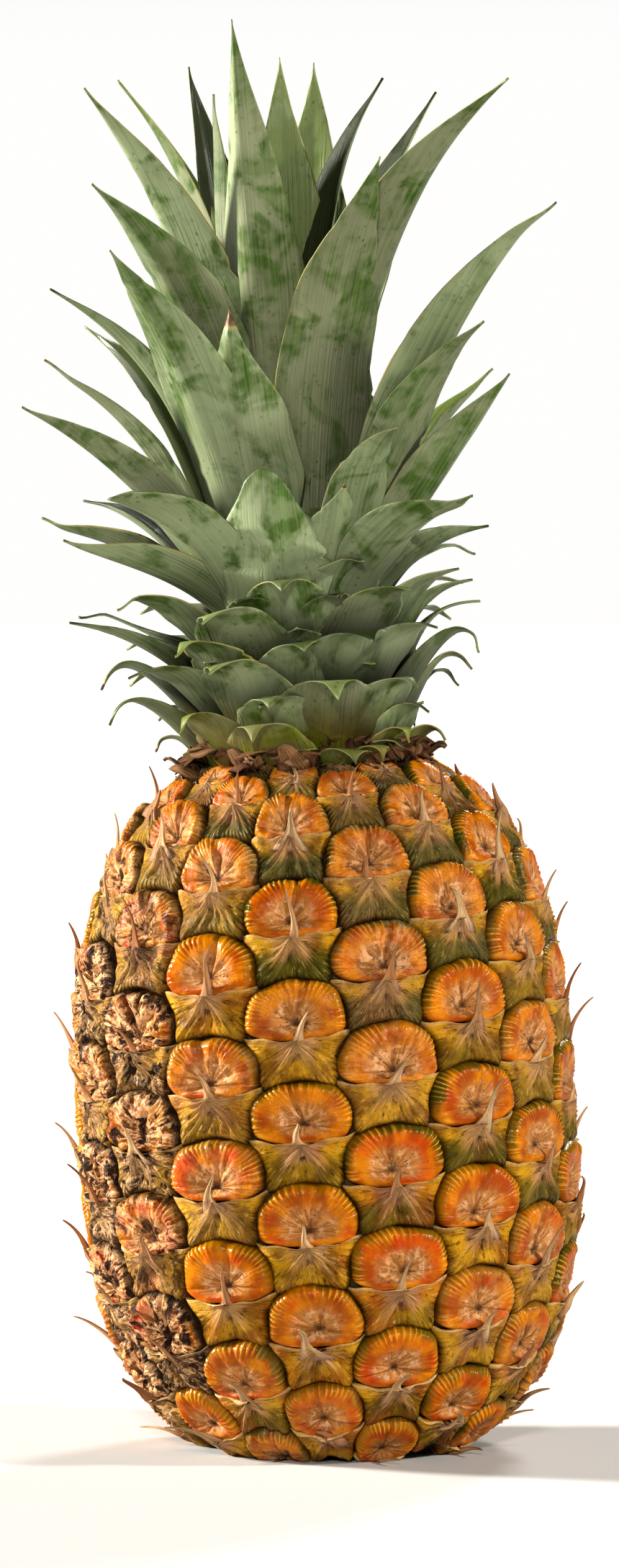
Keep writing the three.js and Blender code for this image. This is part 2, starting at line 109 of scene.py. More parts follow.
def smooth(x):
    """0 below 0, 1 above 1, and an even S between."""
    x = np.clip(x, 0, 1)
    return x * x * (3 - 2 * x)


def mix(a, b, share):
    """The value that is share of the way from a to b."""
    return a + (b - a) * share


def bell(x, middle, width):
    """A bump of height 1 at middle that has all but gone two widths away."""
    return np.exp(-(((x - middle) / width) ** 2))


def signed_power(x, power):
    """The power of x's size, with x's sign."""
    return np.sign(x) * np.abs(x) ** power


# The fruit's surface


def fruit_profile():
    """Radius and eye row at evenly spread heights: R (1 - (|h - widest| / reach)^power)^(1 / roundness), with the
    row counting the distance along the profile, in rows that are taller at the base and shorter at the shoulder."""
    heights = mix(WIDEST_AT - LOWER_REACH, FRUIT_TOP, smooth(np.linspace(0, 1, 4001)))
    above = heights > WIDEST_AT
    share = np.abs(heights - WIDEST_AT) / np.where(above, UPPER_REACH, LOWER_REACH)
    power = np.where(above, UPPER_POWER, LOWER_POWER)
    radii = FRUIT_RADIUS * np.maximum(0, 1 - share**power) ** (1 / ROUNDNESS)
    steps = np.hypot(np.diff(radii, prepend=0), np.diff(heights, prepend=heights[0]))
    along = np.cumsum(steps)
    tall = 1 + TALLER_AT_BASE * np.exp(-np.maximum(0, along - BASE_LENGTH) / BASE_FADE)
    short = 1 - SHORTER_AT_TOP * smooth((along - along[-1]) / SHOULDER_LENGTH + 1)
    rows = np.cumsum(np.append(0, steps[1:] / (ROW_HEIGHT * tall * short)[1:]))
    rows -= rows[np.argmax(heights >= FIRST_EYE_HEIGHT)]
    return rows, radii, heights


PROFILE_ROWS, PROFILE_RADII, PROFILE_HEIGHTS = fruit_profile()
LOWEST_ROW = PROFILE_ROWS[0]
HIGHEST_ROW = PROFILE_ROWS[-1]
LOWEST_EYE = PROFILE_ROWS[np.argmax(PROFILE_HEIGHTS >= 0)]

# The profile runs on inwards over the flat top, for the small eyes that reach under the crown.
INWARDS = np.linspace(0, 1, 60)[1:]
PROFILE_ROWS = np.append(PROFILE_ROWS, HIGHEST_ROW + 0.75 * INWARDS)
PROFILE_HEIGHTS = np.append(PROFILE_HEIGHTS, FRUIT_TOP + 1.2 * np.sin(INWARDS * math.pi / 2))
PROFILE_RADII = np.append(PROFILE_RADII, mix(PROFILE_RADII[-1], 17.0, INWARDS))


def skin_point(column, row, lift):
    """The point of the skin at a column and row, moved out by lift along the skin's normal. The shoulder is drawn
    in on the -X side, where the fruit has dried."""
    column, row, lift = np.broadcast_arrays(column, row, lift)
    angle = FIRST_COLUMN + column * 2 * math.pi / COLUMNS

    def profile(r):
        return np.interp(r, PROFILE_ROWS, PROFILE_RADII), np.interp(r, PROFILE_ROWS, PROFILE_HEIGHTS)

    radius, height = profile(row)
    radius_before, height_before = profile(row - 0.05)
    radius_after, height_after = profile(row + 0.05)
    length = np.maximum(1e-9, np.hypot(radius_after - radius_before, height_after - height_before))
    out_r = (height_after - height_before) / length
    out_h = -(radius_after - radius_before) / length
    low = LOW_SHOULDER * smooth((height - LOW_SHOULDER_FROM) / LOW_SHOULDER_SPAN)
    shrink = 1 - low * (0.5 - 0.5 * np.sin(angle))
    r = radius * shrink + out_r * lift
    return np.stack([np.sin(angle) * r, -np.cos(angle) * r, height + out_h * lift], -1)


def eye_places():
    """Column and row of every eye, column by column from the lowest up, as the solids count them, and then of the
    small ones above them that reach under the crown."""
    column, place = np.meshgrid(np.arange(COLUMNS), np.arange(-14, 14), indexing="ij")
    row = place + column * COLUMN_RISE
    there = (row > LOWEST_EYE) & (row < HIGHEST_ROW - EYE_TOP)
    above = (row >= HIGHEST_ROW - EYE_TOP) & (row < HIGHEST_ROW + 0.1)
    return np.append(column[there], column[above]).astype(float), np.append(row[there], row[above])


EYE_COLUMN, EYE_ROW = eye_places()
EYE_NUMBER = np.arange(len(EYE_COLUMN))
EYE_FLATTER = smooth((HIGHEST_ROW - EYE_ROW) / FLATTER_ROWS)
EYE_RELIEF = np.maximum(EYE_FLATTER, 0.34)


# Meshes


def leaned(points):
    """The plant's upright frame turned about Y by the lean, so that the plant tips towards -X."""
    x, y, z = points[..., 0], points[..., 1], points[..., 2]
    c, s = math.cos(LEAN), math.sin(LEAN)
    return np.stack([x * c - z * s, y, x * s + z * c], -1)


def grid_faces(count, rows, columns, wrap=False):
    """The quads of count grids of rows by columns points, numbered grid after grid. A wrapped grid's last column
    joins its first."""
    r = np.arange(rows - 1)[:, None]
    c = np.arange(columns if wrap else columns - 1)[None, :]
    a = r * columns + c
    b = r * columns + (c + 1) % columns
    quads = np.stack([a, b, b + columns, a + columns], -1).reshape(-1, 4)
    return (quads[None] + (np.arange(count) * rows * columns)[:, None, None]).reshape(-1, 4)


def make_piece(name, points, quads, material, replaced=(), attributes=None, level_floor=None):
    """A mesh from points in millimetres in the world's frame and quads, with named point attributes. Points that
    coincide, as at a pole or a seam, are joined, and the quads that they shorten become triangles."""
    points = points.reshape(-1, 3)
    if level_floor is not None:
        points = np.concatenate([points[:, :2], np.maximum(points[:, 2:], level_floor)], 1)
    _, first, where = np.unique(np.round(points, 4), axis=0, return_index=True, return_inverse=True)
    points = points[first]
    corners = where.reshape(-1)[quads]
    kept = corners != np.roll(corners, -1, axis=1)
    corners, kept = corners[kept.sum(1) > 2], kept[kept.sum(1) > 2]
    loops = corners[kept]
    starts = np.append(0, np.cumsum(kept.sum(1))[:-1])
    mesh = bpy.data.meshes.new(name)
    mesh.vertices.add(len(points))
    mesh.vertices.foreach_set("co", (points * 0.001).astype(np.float32).ravel())
    mesh.loops.add(loops.size)
    mesh.loops.foreach_set("vertex_index", loops.astype(np.int32))
    mesh.polygons.add(len(starts))
    mesh.polygons.foreach_set("loop_start", starts.astype(np.int32))
    for key, values in (attributes or {}).items():
        layer = mesh.attributes.new(key, "FLOAT_VECTOR", "POINT")
        layer.data.foreach_set("vector", values.reshape(-1, 3)[first].astype(np.float32).ravel())
    mesh.update(calc_edges=True)
    mesh.validate()
    mesh.shade_smooth()
    mesh.materials.append(material)
    piece = bpy.data.objects.new(name, mesh)
    bpy.context.scene.collection.objects.link(piece)
    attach(piece, "root")
    if replaced:
        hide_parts(*replaced)
    return piece


def fields(*parts):
    """Several arrays of one shape as the last axis of one."""
    return np.stack(np.broadcast_arrays(*parts), -1)


def closed(rings):
    """Tubes of rings, as (tubes, steps, ring, 3), with a ring drawn in to a point added at both ends."""
    first = rings[:, :1].mean(2, keepdims=True) + 0 * rings[:, :1]
    last = rings[:, -1:].mean(2, keepdims=True) + 0 * rings[:, -1:]
    return np.concatenate([first, rings, last], 1)


def lengthened(values):
    """Values per step of such tubes, with the first and the last repeated for the added rings."""
    return np.concatenate([values[:, :1], values, values[:, -1:]], 1)


# Finishes


def paint(code):
    """A screen colour such as "c07a10" as linear red, green, blue and 1."""
    screen = np.array([int(code[i:i + 2], 16) for i in (0, 2, 4)]) / 255
    return (*np.where(screen <= 0.04045, screen / 12.92, ((screen + 0.055) / 1.055) ** 2.4), 1.0)


class Finish:
    """A procedural material being put together, with short ways to add and join its nodes."""

    def __init__(self, name, roughness=0.5, **settings):
        self.material = bpy.data.materials.new(name)
        self.material.use_nodes = True
        self.nodes = self.material.node_tree.nodes
        self.links = self.material.node_tree.links
        self.shader = self.nodes["Principled BSDF"]
        self.shader.inputs["Roughness"].default_value = roughness
        for key, value in settings.items():
            self.shader.inputs[key.replace("_", " ")].default_value = value
        self.place = self.nodes.new("ShaderNodeTexCoord").outputs["Object"]

    def give(self, socket, value):
        """Sets a socket to a number or a colour's code, or joins it to another node's output."""
        if isinstance(value, bpy.types.NodeSocket):
            self.links.new(value, socket)
        else:
            socket.default_value = paint(value) if isinstance(value, str) else value

    def attribute(self, name):
        """The x, y and z of a point attribute."""
        node = self.nodes.new("ShaderNodeAttribute")
        node.attribute_name = name
        return self.parts(node.outputs["Vector"])

    def parts(self, vector):
        """The x, y and z of a vector."""
        split = self.nodes.new("ShaderNodeSeparateXYZ")
        self.links.new(vector, split.inputs[0])
        return split.outputs[0], split.outputs[1], split.outputs[2]

    def vector(self, x=0.0, y=0.0, z=0.0):
        node = self.nodes.new("ShaderNodeCombineXYZ")
        for socket, value in zip(node.inputs, (x, y, z)):
            self.give(socket, value)
        return node.outputs[0]

    def maths(self, operation, a, b=0.0, c=0.0):
        """One of the math node's operations, of up to three values."""
        node = self.nodes.new("ShaderNodeMath")
        node.operation = operation
        for socket, value in zip(node.inputs, (a, b, c)):
            self.give(socket, value)
        return node.outputs[0]

    def plus(self, a, b):
        return self.maths("ADD", a, b)

    def times(self, a, b):
        return self.maths("MULTIPLY", a, b)

    def near(self, value, middle, width):
        """A share that is 1 where value is at middle and 0 a width away."""
        return self.span(self.maths("ABSOLUTE", self.maths("SUBTRACT", value, middle)), 0.0, width, 1.0, 0.0)

    def span(self, value, low, high, to_low=0.0, to_high=1.0):
        """Value carried from low..high to to_low..to_high with an even S, and held at the ends."""
        node = self.nodes.new("ShaderNodeMapRange")
        node.interpolation_type = "SMOOTHSTEP"
        for socket, given in zip(node.inputs, (value, low, high, to_low, to_high)):
            self.give(socket, given)
        return node.outputs[0]

    def noise(self, scale, detail=3.0, roughness=0.55, where=None, distortion=0.0):
        """Cloudy noise about 0.5, with scale features a metre, or a unit of where."""
        node = self.nodes.new("ShaderNodeTexNoise")
        self.give(node.inputs["Vector"], self.place if where is None else where)
        node.inputs["Scale"].default_value = scale
        node.inputs["Detail"].default_value = detail
        node.inputs["Roughness"].default_value = roughness
        node.inputs["Distortion"].default_value = distortion
        return node.outputs["Fac"]

    def cells(self, scale, where=None):
        """Distance to the nearest of many scattered points."""
        node = self.nodes.new("ShaderNodeTexVoronoi")
        self.give(node.inputs["Vector"], self.place if where is None else where)
        node.inputs["Scale"].default_value = scale
        return node.outputs["Distance"]

    def blend(self, a, b, share, way="MIX"):
        """Colour a turning into colour b as share goes from 0 to 1."""
        node = self.nodes.new("ShaderNodeMix")
        node.data_type = "RGBA"
        node.blend_type = way
        self.give(node.inputs[0], share)
        self.give(node.inputs[6], a)
        self.give(node.inputs[7], b)
        return node.outputs[2]

    def done(self, colour, roughness=None, height=None, depth=0.0002):
        """Joins the colour, the roughness and a bump of depth metres at full height, and returns the material."""
        self.give(self.shader.inputs["Base Color"], colour)
        if roughness is not None:
            self.give(self.shader.inputs["Roughness"], roughness)
        if height is not None:
            bump = self.nodes.new("ShaderNodeBump")
            bump.inputs["Strength"].default_value = 1.0
            bump.inputs["Distance"].default_value = depth
            self.give(bump.inputs["Height"], height)
            self.links.new(bump.outputs["Normal"], self.shader.inputs["Normal"])
        return self.material


def cracked_and_hollow_shaded(f, colour, dry):
    """The noise of crumpled skin, and the colour darkened along its hollows where the skin is dry: partly the
    dark cracks of dried skin, partly painted shade in the hollows.
    """
    crumple = f.noise(240, 4, 0.6, None, 0.8)
    # Dark where the crumple's hollows lie on dry skin: dried skin's cracks and painted shade in the hollows.
    return crumple, f.blend(colour, "2a1406", f.times(f.span(crumple, 0.5, 0.41), f.span(dry, 0.15, 0.6, 0.0, 0.97)))


def cap_finish():
    """An eye's cap: a pinkish, speckled dish in a glossy orange rim that turns yellow, olive or green outside. The
    rim's beads carry a painted highlight, and its edge is painted dark as shade where it falls into the groove.
    """
    f = Finish("eye cap", 0.3, Specular_IOR_Level=0.14)
    ray_x, ray_y, out = f.attribute("ray")
    green, red, dry = f.attribute("tint")
    furrow, bead, lower = f.attribute("form")
    broad = f.noise(90, 3)
    fine = f.noise(520, 4, 0.65)
    depth = f.maths("MULTIPLY_ADD", out, 1.4, f.times(green, 9.0))
    rays = f.noise(1.0, 4, 0.65, f.vector(ray_x, ray_y, depth))
    ragged = f.plus(out, f.times(f.maths("SUBTRACT", broad, 0.5), 0.3))
    ragged = f.plus(ragged, f.times(f.maths("SUBTRACT", rays, 0.5), 0.5))
    orange = f.blend("964a02", "c07a02", f.span(f.noise(150, 2), 0.36, 0.64))
    orange = f.blend(orange, "b83402", f.times(red, f.span(f.noise(120, 3), 0.46, 0.64)))
    dish = f.blend("9a6834", "c08a50", f.span(rays, 0.4, 0.6))
    dish = f.blend(dish, "d8b08a", f.span(fine, 0.48, 0.64, 0.0, 0.65))
    colour = f.blend(dish, orange, f.span(ragged, 0.36, 0.64))
    rim = f.blend("9a6802", "3a460a", f.times(green, f.span(broad, 0.28, 0.55)))
    colour = f.blend(colour, rim, f.times(f.span(ragged, 0.76, 0.94), f.span(lower, 0.75, 0.4)))
    # Painted highlight: the crests of the rim's beads are painted a bright yellow.
    painted_bead_highlight = f.times(f.span(bead, 0.5, 0.95, 0.0, 0.6), f.span(out, 0.7, 0.86))
    colour = f.blend(colour, "e6aa38", painted_bead_highlight)
    dried = f.blend("46260a", "dcb48a", f.span(f.plus(fine, rays), 0.88, 1.08))
    colour = f.blend(colour, dried, f.times(dry, f.span(broad, 0.3, 0.62, 0.3, 0.95)))
    colour = f.blend(colour, "7a3c0e", f.times(furrow, f.span(out, 0.1, 0.6, 0.5, 0.3)))
    crumple, colour = cracked_and_hollow_shaded(f, colour, dry)
    # Painted shade where the rim falls into the groove, on every cap, with the cracks of dried skin added on dry caps;
    # the outermost band below is painted shade alone.
    crack_and_groove_shade = f.times(f.span(out, 0.84, 0.98), f.maths("MULTIPLY_ADD", dry, 0.9, 0.15))
    colour = f.blend(colour, "1e1004", crack_and_groove_shade)
    colour = f.blend(colour, "3c2608", f.span(out, 0.93, 1.0, 0.0, 0.8))
    speck = f.span(f.cells(1100), 0.12, 0.3, 1.0, 0.0)
    speck = f.times(speck, f.span(f.noise(300, 2), 0.46, 0.58))
    colour = f.blend(colour, "47250c", f.times(speck, f.span(out, 0.2, 0.8, 0.85, 0.3)))
    navel = f.span(f.maths("MULTIPLY_ADD", rays, 0.2, out), 0.12, 0.26, 0.85, 0.0)
    colour = f.blend(colour, "432214", navel)
    shine = f.span(ragged, 0.4, 0.75, 0.55, 0.2)
    shine = f.plus(shine, f.times(dry, 0.3))
    height = f.plus(f.times(f.noise(700, 3, 0.6), 0.35), f.times(broad, 0.4))
    height = f.plus(height, f.times(rays, f.span(out, 0.5, 0.75, 0.8, 0.2)))
    crumpled = f.times(dry, crumple)
    return f.done(colour, shine, f.maths("MULTIPLY_ADD", crumpled, 3.5, height), 0.0007)


def bract_finish():
    """A bract: tan and pink with fine dark streaks about the spine's foot, yellow at its sides, olive below, and
    painted shade along its edge where it falls into the groove.
    """
    f = Finish("bract", 0.42, Specular_IOR_Level=0.14)
    fan, out, low = f.attribute("polar")
    green, red, dry = f.attribute("tint")
    lip, rib, sag = f.attribute("form")
    broad = f.noise(80, 3)
    fine = f.noise(560, 4, 0.65)
    streaks = f.noise(1.0, 4, 0.72, f.vector(f.times(fan, 40.0), f.times(out, 3.5), red))
    yellow = f.blend("865c08", "c09214", f.span(f.noise(180, 3), 0.36, 0.62))
    olive = f.blend("5c5204", "354008", f.span(broad, 0.35, 0.65))
    olive_share = f.times(green, f.span(f.plus(low, f.times(sag, 0.3)), 0.2, 0.75))
    colour = f.blend(yellow, olive, olive_share)
    colour = f.blend(colour, "a8470a", f.times(red, f.span(broad, 0.46, 0.66, 0.0, 0.85)))
    tan = f.blend("c69c68", "ae7e68", f.span(broad, 0.42, 0.66, 0.1, 0.7))
    tan_share = f.maths("SUBTRACT", f.maths("MULTIPLY_ADD", streaks, 0.9, out), 0.45)
    colour = f.blend(colour, tan, f.span(tan_share, 0.2, 0.62, 0.92, 0.0))
    dried = f.blend("42220c", "dcb68c", f.span(streaks, 0.43, 0.58))
    colour = f.blend(colour, dried, f.times(dry, f.span(broad, 0.35, 0.6, 0.45, 0.95)))
    crumple, colour = cracked_and_hollow_shaded(f, colour, dry)
    colour = f.blend(colour, "341a0c", f.span(streaks, 0.55, 0.68, 0.0, 0.8))
    colour = f.blend(colour, "d6b678", f.span(streaks, 0.42, 0.3, 0.0, 0.6))
    colour = f.blend(colour, "d2b076", f.times(rib, f.span(out, 0.1, 0.9, 0.6, 0.15)))
    pits = f.times(f.span(sag, 0.45, 0.95), f.near(out, 0.36, 0.16))
    colour = f.blend(colour, "54341c", f.times(pits, f.span(fine, 0.36, 0.6, 0.2, 0.9)))
    speck = f.times(f.span(f.cells(1200), 0.1, 0.26, 1.0, 0.0), f.span(f.noise(330, 2), 0.46, 0.6))
    colour = f.blend(colour, "332009", f.times(speck, 0.8))
    # Painted shade: the edge is painted dark where it falls into the groove, fully along the lower edge over the cap
    # and a quarter as much on the wings.
    painted_edge_shade = f.times(f.span(out, 0.84, 1.0, 0.0, 0.85), f.span(low, 0.02, 0.3, 0.25, 1.0))
    colour = f.blend(colour, "3c1e06", painted_edge_shade)
    colour = f.blend(colour, "cdac78", f.times(lip, f.span(fine, 0.3, 0.6, 0.5, 0.95)))
    shine = f.plus(f.span(out, 0.3, 0.8, 0.58, 0.3), f.times(fine, 0.1))
    height = f.plus(f.times(streaks, 1.1), f.times(fine, 0.3))
    beads = f.times(f.maths("SINE", f.times(fan, 175.0)), f.span(out, 0.66, 0.86, 0.0, 0.35))
    height = f.plus(height, f.times(beads, f.span(low, 0.1, 0.35)))
    crumpled = f.times(dry, crumple)
    return f.done(colour, shine, f.maths("MULTIPLY_ADD", crumpled, 3.5, height), 0.0008)


def paper_finish(name, pale, deep, foot):
    """Dry plant paper: pale, streaked along its length, redder on some pieces, darker towards its foot. On the
    collar's dry bracts that foot is painted nearly black, as painted shade under the crown's leaves.
    """
    f = Finish(name, 0.7, Specular_IOR_Level=0.2)
    across, along, tone = f.attribute("polar")
    streaks = f.noise(1.0, 4, 0.7, f.vector(f.times(across, 9.0), f.times(along, 1.6), tone))
    colour = f.blend(pale, deep, f.span(streaks, 0.4, 0.66))
    colour = f.blend(colour, deep, f.span(tone, 0.3, 1.0, 0.0, 0.9))
    # Darker towards the foot; on the collar's bracts this is painted shade under the crown's leaves.
    colour = f.blend(colour, foot, f.span(along, 0.0, 0.4, 0.8, 0.0))
    return f.done(colour, None, streaks, 0.0005)


def groove_finish():
    """The skin at the bottom of the grooves: dark brown with an olive cast."""
    f = Finish("groove", 0.6, Specular_IOR_Level=0.3)
    colour = f.blend("3e2408", "463a0c", f.span(f.noise(140, 3), 0.4, 0.65))
    return f.done(colour, None, f.noise(600, 3), 0.0004)


def leaf_finish(name, foot_shade):
    """A crown leaf: deep green under a grey, waxy bloom that is rubbed off in patches, finely ribbed along its
    length, yellower near the fruit, with tan margins and a dried tip on some. The side that faces the stem is a
    darker green without bloom, painted nearly black as painted shade on the leaves set darkest and paler as
    painted light on those set palest. The foot is painted darker by foot_shade, as painted shade where the leaves
    shade each other, and the front leaf's folded left third is painted paler as painted light."""
    f = Finish(name, 0.5, Specular_IOR_Level=0.3)
    across, along, inner = f.attribute("blade")
    tone, dry, length = f.attribute("state")
    ribs = f.noise(1.0, 3, 0.6, f.vector(f.times(across, 1.5), f.times(length, 0.02), tone))
    cloud = f.noise(85, 4, 0.56, None, 0.9)
    drift = f.noise(1.0, 4, 0.65, f.vector(f.times(across, 0.12), f.times(length, 0.05), tone), 0.8)
    green = f.blend("3e5416", "566e32", f.span(ribs, 0.35, 0.65))
    bloom = f.blend("6c7656", "828c68", f.span(ribs, 0.35, 0.65))
    bloom = f.blend(bloom, "96a07e", f.span(f.noise(24, 3), 0.42, 0.66, 0.0, 0.8))
    bloom = f.blend(bloom, "7c7a60", f.span(tone, 0.5, 1.0, 0.0, 0.45))
    # Painted light: a tone below 0, on the front leaf's folded left third, paints the bloom pale.
    bloom = f.blend(bloom, "a6a88e", f.span(tone, 0.0, -1.0, 0.0, 0.85))
    worn = f.plus(f.times(drift, 0.36), f.times(cloud, 0.74))
    worn = f.plus(worn, f.times(tone, 0.05))
    worn = f.plus(worn, f.span(along, 0.1, 0.75, -0.08, 0.02))
    worn = f.span(worn, 0.53, 0.69)
    rubbed = f.span(f.noise(210, 2), 0.36, 0.6, 0.5, 1.0)
    colour = f.blend(bloom, green, f.times(worn, rubbed))
    # The inner face's green by tone, from nearly black to mid green; the leaves set to the ends of tone have painted
    # shade and painted light here.
    inner_green_and_shade = f.blend("222b08", "74824a", f.span(tone, 0.1, 0.9))
    colour = f.blend(colour, inner_green_and_shade, f.times(inner, f.span(tone, 0.0, 0.3, 0.95, 0.7)))
    colour = f.blend(colour, "1e200a", f.span(along, 0.16, 0.72, foot_shade, 0.0))
    height_m = f.parts(f.place)[2]
    yellowed = f.times(f.span(height_m, 0.2, 0.182), f.span(tone, 0.2, 0.7, 0.1, 0.7))
    colour = f.blend(colour, f.blend("6b5a1c", "7c7a1e", f.span(cloud, 0.4, 0.6)), yellowed)
    brown = f.blend("846646", "46301c", f.span(f.noise(260, 3), 0.4, 0.62))
    ragged = f.plus(dry, f.times(f.maths("SUBTRACT", f.noise(130, 4, 0.65), 0.5), 0.8))
    colour = f.blend(colour, "99905a", f.span(ragged, 0.25, 0.5, 0.0, 0.8))
    colour = f.blend(colour, brown, f.span(ragged, 0.55, 0.75))
    spots = f.times(f.span(f.cells(420), 0.1, 0.26, 1.0, 0.0), f.span(f.noise(90, 2), 0.44, 0.6))
    colour = f.blend(colour, "3a3a1a", f.times(spots, 0.45))
    shine = f.span(worn, 0.0, 1.0, 0.6, 0.4)
    height = f.times(ribs, f.span(along, 0.5, 0.9, 1.0, 0.2))
    return f.done(colour, shine, f.maths("MULTIPLY_ADD", cloud, 0.2, height), 0.0005)


def stem_finish():
    """The stem's core between the leaves: pale green and fibrous."""
    f = Finish("crown stem", 0.6)
    colour = f.blend("5c6232", "4d4524", f.span(f.noise(120, 4), 0.35, 0.65))
    return f.done(colour, None, f.noise(400, 3), 0.0005)


def stalk_finish():
    """The cut stalk: tan, with the dots of cut fibres on its face."""
    f = Finish("cut stalk", 0.8)
    dots = f.span(f.cells(900), 0.15, 0.35)
    colour = f.blend("7a5a34", "b89a68", dots)
    colour = f.blend(colour, "8d6f44", f.span(f.noise(150, 4), 0.4, 0.7))
    return f.done(colour, None, dots, 0.0004)


# The fruit's pieces


def tint_of(column, row, number):
    """Green, red and dry shares of each eye."""
    place = skin_point(column, row, 0.0)
    x, y, h = place[..., 0], place[..., 1], place[..., 2]
    left = smooth((-x - 22) / 26) * smooth((10 - y) / 30)
    green = np.clip(0.25 + 0.75 * smooth((h - 95) / 60) + 0.5 * jitter(number, 41) + 0.2 * smooth(x / 40), 0, 1)
    red = np.clip(0.35 + 0.5 * jitter(number, 42) + 0.5 * smooth((90 - h) / 60), 0, 1) * (0.6 + 0.4 * left)
    dry = np.clip(left * (0.55 + 0.5 * draw(number, 43)) + 0.25 * jitter(number, 44), 0, 1)
    dry = np.maximum(dry, smooth((h - 172) / 8) * (0.3 + 0.5 * draw(number, 48)))
    return green * (1 - 0.7 * left), red, dry


EYE_TINT = tint_of(EYE_COLUMN, EYE_ROW, EYE_NUMBER)


def cap_outline(turn):
    """Across and up of a cap's outline at an angle from its right-hand side: half a squarish circle above its
    widest place, and a flat one below."""
    c, s = np.cos(turn), np.sin(turn)
    across = 0.575 * signed_power(c, np.where(s > 0, 0.85, 0.66))
    return across, 0.25 + np.where(s > 0, 0.41, 0.225) * signed_power(s, np.where(s > 0, 0.85, 0.62))


def eye_caps(name, chosen, replaced=()):
    """Each cap is a grid of turn round its navel and share out to its outline. It rises from a dished, folded
    middle to a rounded rim, which falls like a quarter of an ellipse into the groove. The rim carries radial
    beads, and a furrow splits it at the top."""
    column, row, number = EYE_COLUMN[chosen], EYE_ROW[chosen], EYE_NUMBER[chosen]
    relief = EYE_RELIEF[chosen][:, None, None]
    green, red, dry = [t[chosen][:, None, None] for t in EYE_TINT]
    upper = np.linspace(-20, 200, 104, endpoint=False)
    lower = np.linspace(200, 340, 20, endpoint=False)
    turn = (np.concatenate([upper, lower]) * DEGREE)[None, None, :]
    out = np.array([0.0, 0.14, 0.28, 0.42, 0.55, 0.66, 0.76, 0.84, 0.9, 0.95, 0.985, 1.0])[None, :, None]
    k = number[:, None, None]
    furrow_turn = 90 * DEGREE + 0.2 * jitter(k, 37)
    furrow = (0.5 + 0.5 * draw(k, 39)) * bell(turn, furrow_turn, 0.12)
    edge_across, edge_up = cap_outline(turn)
    navel_across = 0.06 * jitter(k, 31)
    navel_up = 0.19 + 0.035 * jitter(k, 32)
    wobble = 0.03 * np.sin(3 * turn + 6 * draw(k, 29)) + 0.018 * np.sin(7 * turn + 6 * draw(k, 30)) - 0.05 * furrow
    spread = out * (1 + wobble * out**2)
    across = mix(navel_across, edge_across, spread) + 0.04 * jitter(k, 28) * (edge_up - 0.25) * out
    up = mix(navel_up, edge_up, spread)
    sine = np.sin(turn)
    rim = 2.35 + 0.35 * jitter(k, 33) + 0.3 * np.sin(2 * turn + 6 * draw(k, 34)) + 0.7 * dry * jitter(k, 38)
    rise = 1.0 + rim * smooth(out / 0.78) * (1 - 0.35 * smooth(-sine * 1.4))
    beads = np.cos(turn * (46 + np.round(4 * jitter(k, 35))) + 0.9 * np.sin(3 * turn + 6 * draw(k, 36)))
    uneven = 0.6 + 0.4 * np.sin(4 * turn + 6 * draw(k, 24))
    rise = rise + (0.36 + 0.16 * dry) * uneven * beads * smooth((out - 0.6) / 0.18) * smooth((sine + 0.35) / 0.4)
    rise = rise - 1.1 * furrow * smooth(out / 0.35) - 0.6 * bell(out, 0.0, 0.16)
    mouth = bell(sine, -0.16 + 0.1 * jitter(k, 26), 0.12) * (0.3 + 0.7 * draw(k, 27))
    rise = rise - 0.75 * mouth * smooth(out / 0.3) * smooth((0.9 - out) / 0.2)
    folds = np.sin(turn * 7 + 6 * draw(k, 45)) + 0.6 * np.sin(turn * 12 + 6 * draw(k, 47))
    rise = rise + (0.2 + 0.45 * dry) * folds * bell(out, 0.35, 0.22) * smooth(out / 0.14)
    rise = rise + 0.5 * bell(turn, 262 * DEGREE, 0.9) * bell(out, 0.6, 0.14)
    buckle = np.sin(9 * across * COLUMNS / 6 + 7 * up + 6 * draw(k, 21))
    buckle = buckle * np.sin(13 * up - 5 * across + 6 * draw(k, 22))
    rise = rise + (0.15 + 0.95 * dry) * buckle * smooth(out / 0.2)
    fall = np.sqrt(np.maximum(0, 1 - np.clip((out - 0.8) / 0.2, 0, 1) ** 2))
    lift = (rise * relief + GROOVE_DEPTH) * fall - GROOVE_DEPTH
    points = skin_point(column[:, None, None] + across, row[:, None, None] + up, lift)
    blank = 0 * lift
    attributes = {
        "ray": fields(6 * np.cos(turn) + 30 * draw(k, 46) + blank, 6 * sine + blank, out + blank),
        "tint": fields(green + blank, red + blank, dry + blank),
        "form": fields(furrow + blank, 0.5 + 0.5 * beads * uneven + blank, (1 - sine) / 2 + blank),
    }
    quads = grid_faces(len(column), out.size, turn.size, wrap=True)
    return make_piece(name, leaned(points), quads[:, ::-1], CAP, replaced, attributes, 0.1)


# The bract's outline from its right wing's point, round below the spine, to its left wing's: columns and rows.
BRACT_OUTLINE = np.array([
    (0.63, 0.13), (0.53, 0.02), (0.465, -0.1), (0.44, -0.22), (0.45, -0.34), (0.41, -0.44), (0.2, -0.385),
    (0.0, -0.36), (-0.2, -0.39), (-0.42, -0.45), (-0.455, -0.36), (-0.44, -0.25), (-0.475, -0.12), (-0.55, -0.02),
    (-0.64, 0.1),
])

# The bract's ribs: place in the fan, least height, and what chance may add.
BRACT_RIBS = (
    (0.33, 0.2, 0.6), (0.66, 0.2, 0.6), (0.24, 0.0, 0.7), (0.43, 0.0, 0.8), (0.56, 0.0, 0.8), (0.76, 0.0, 0.7),
)


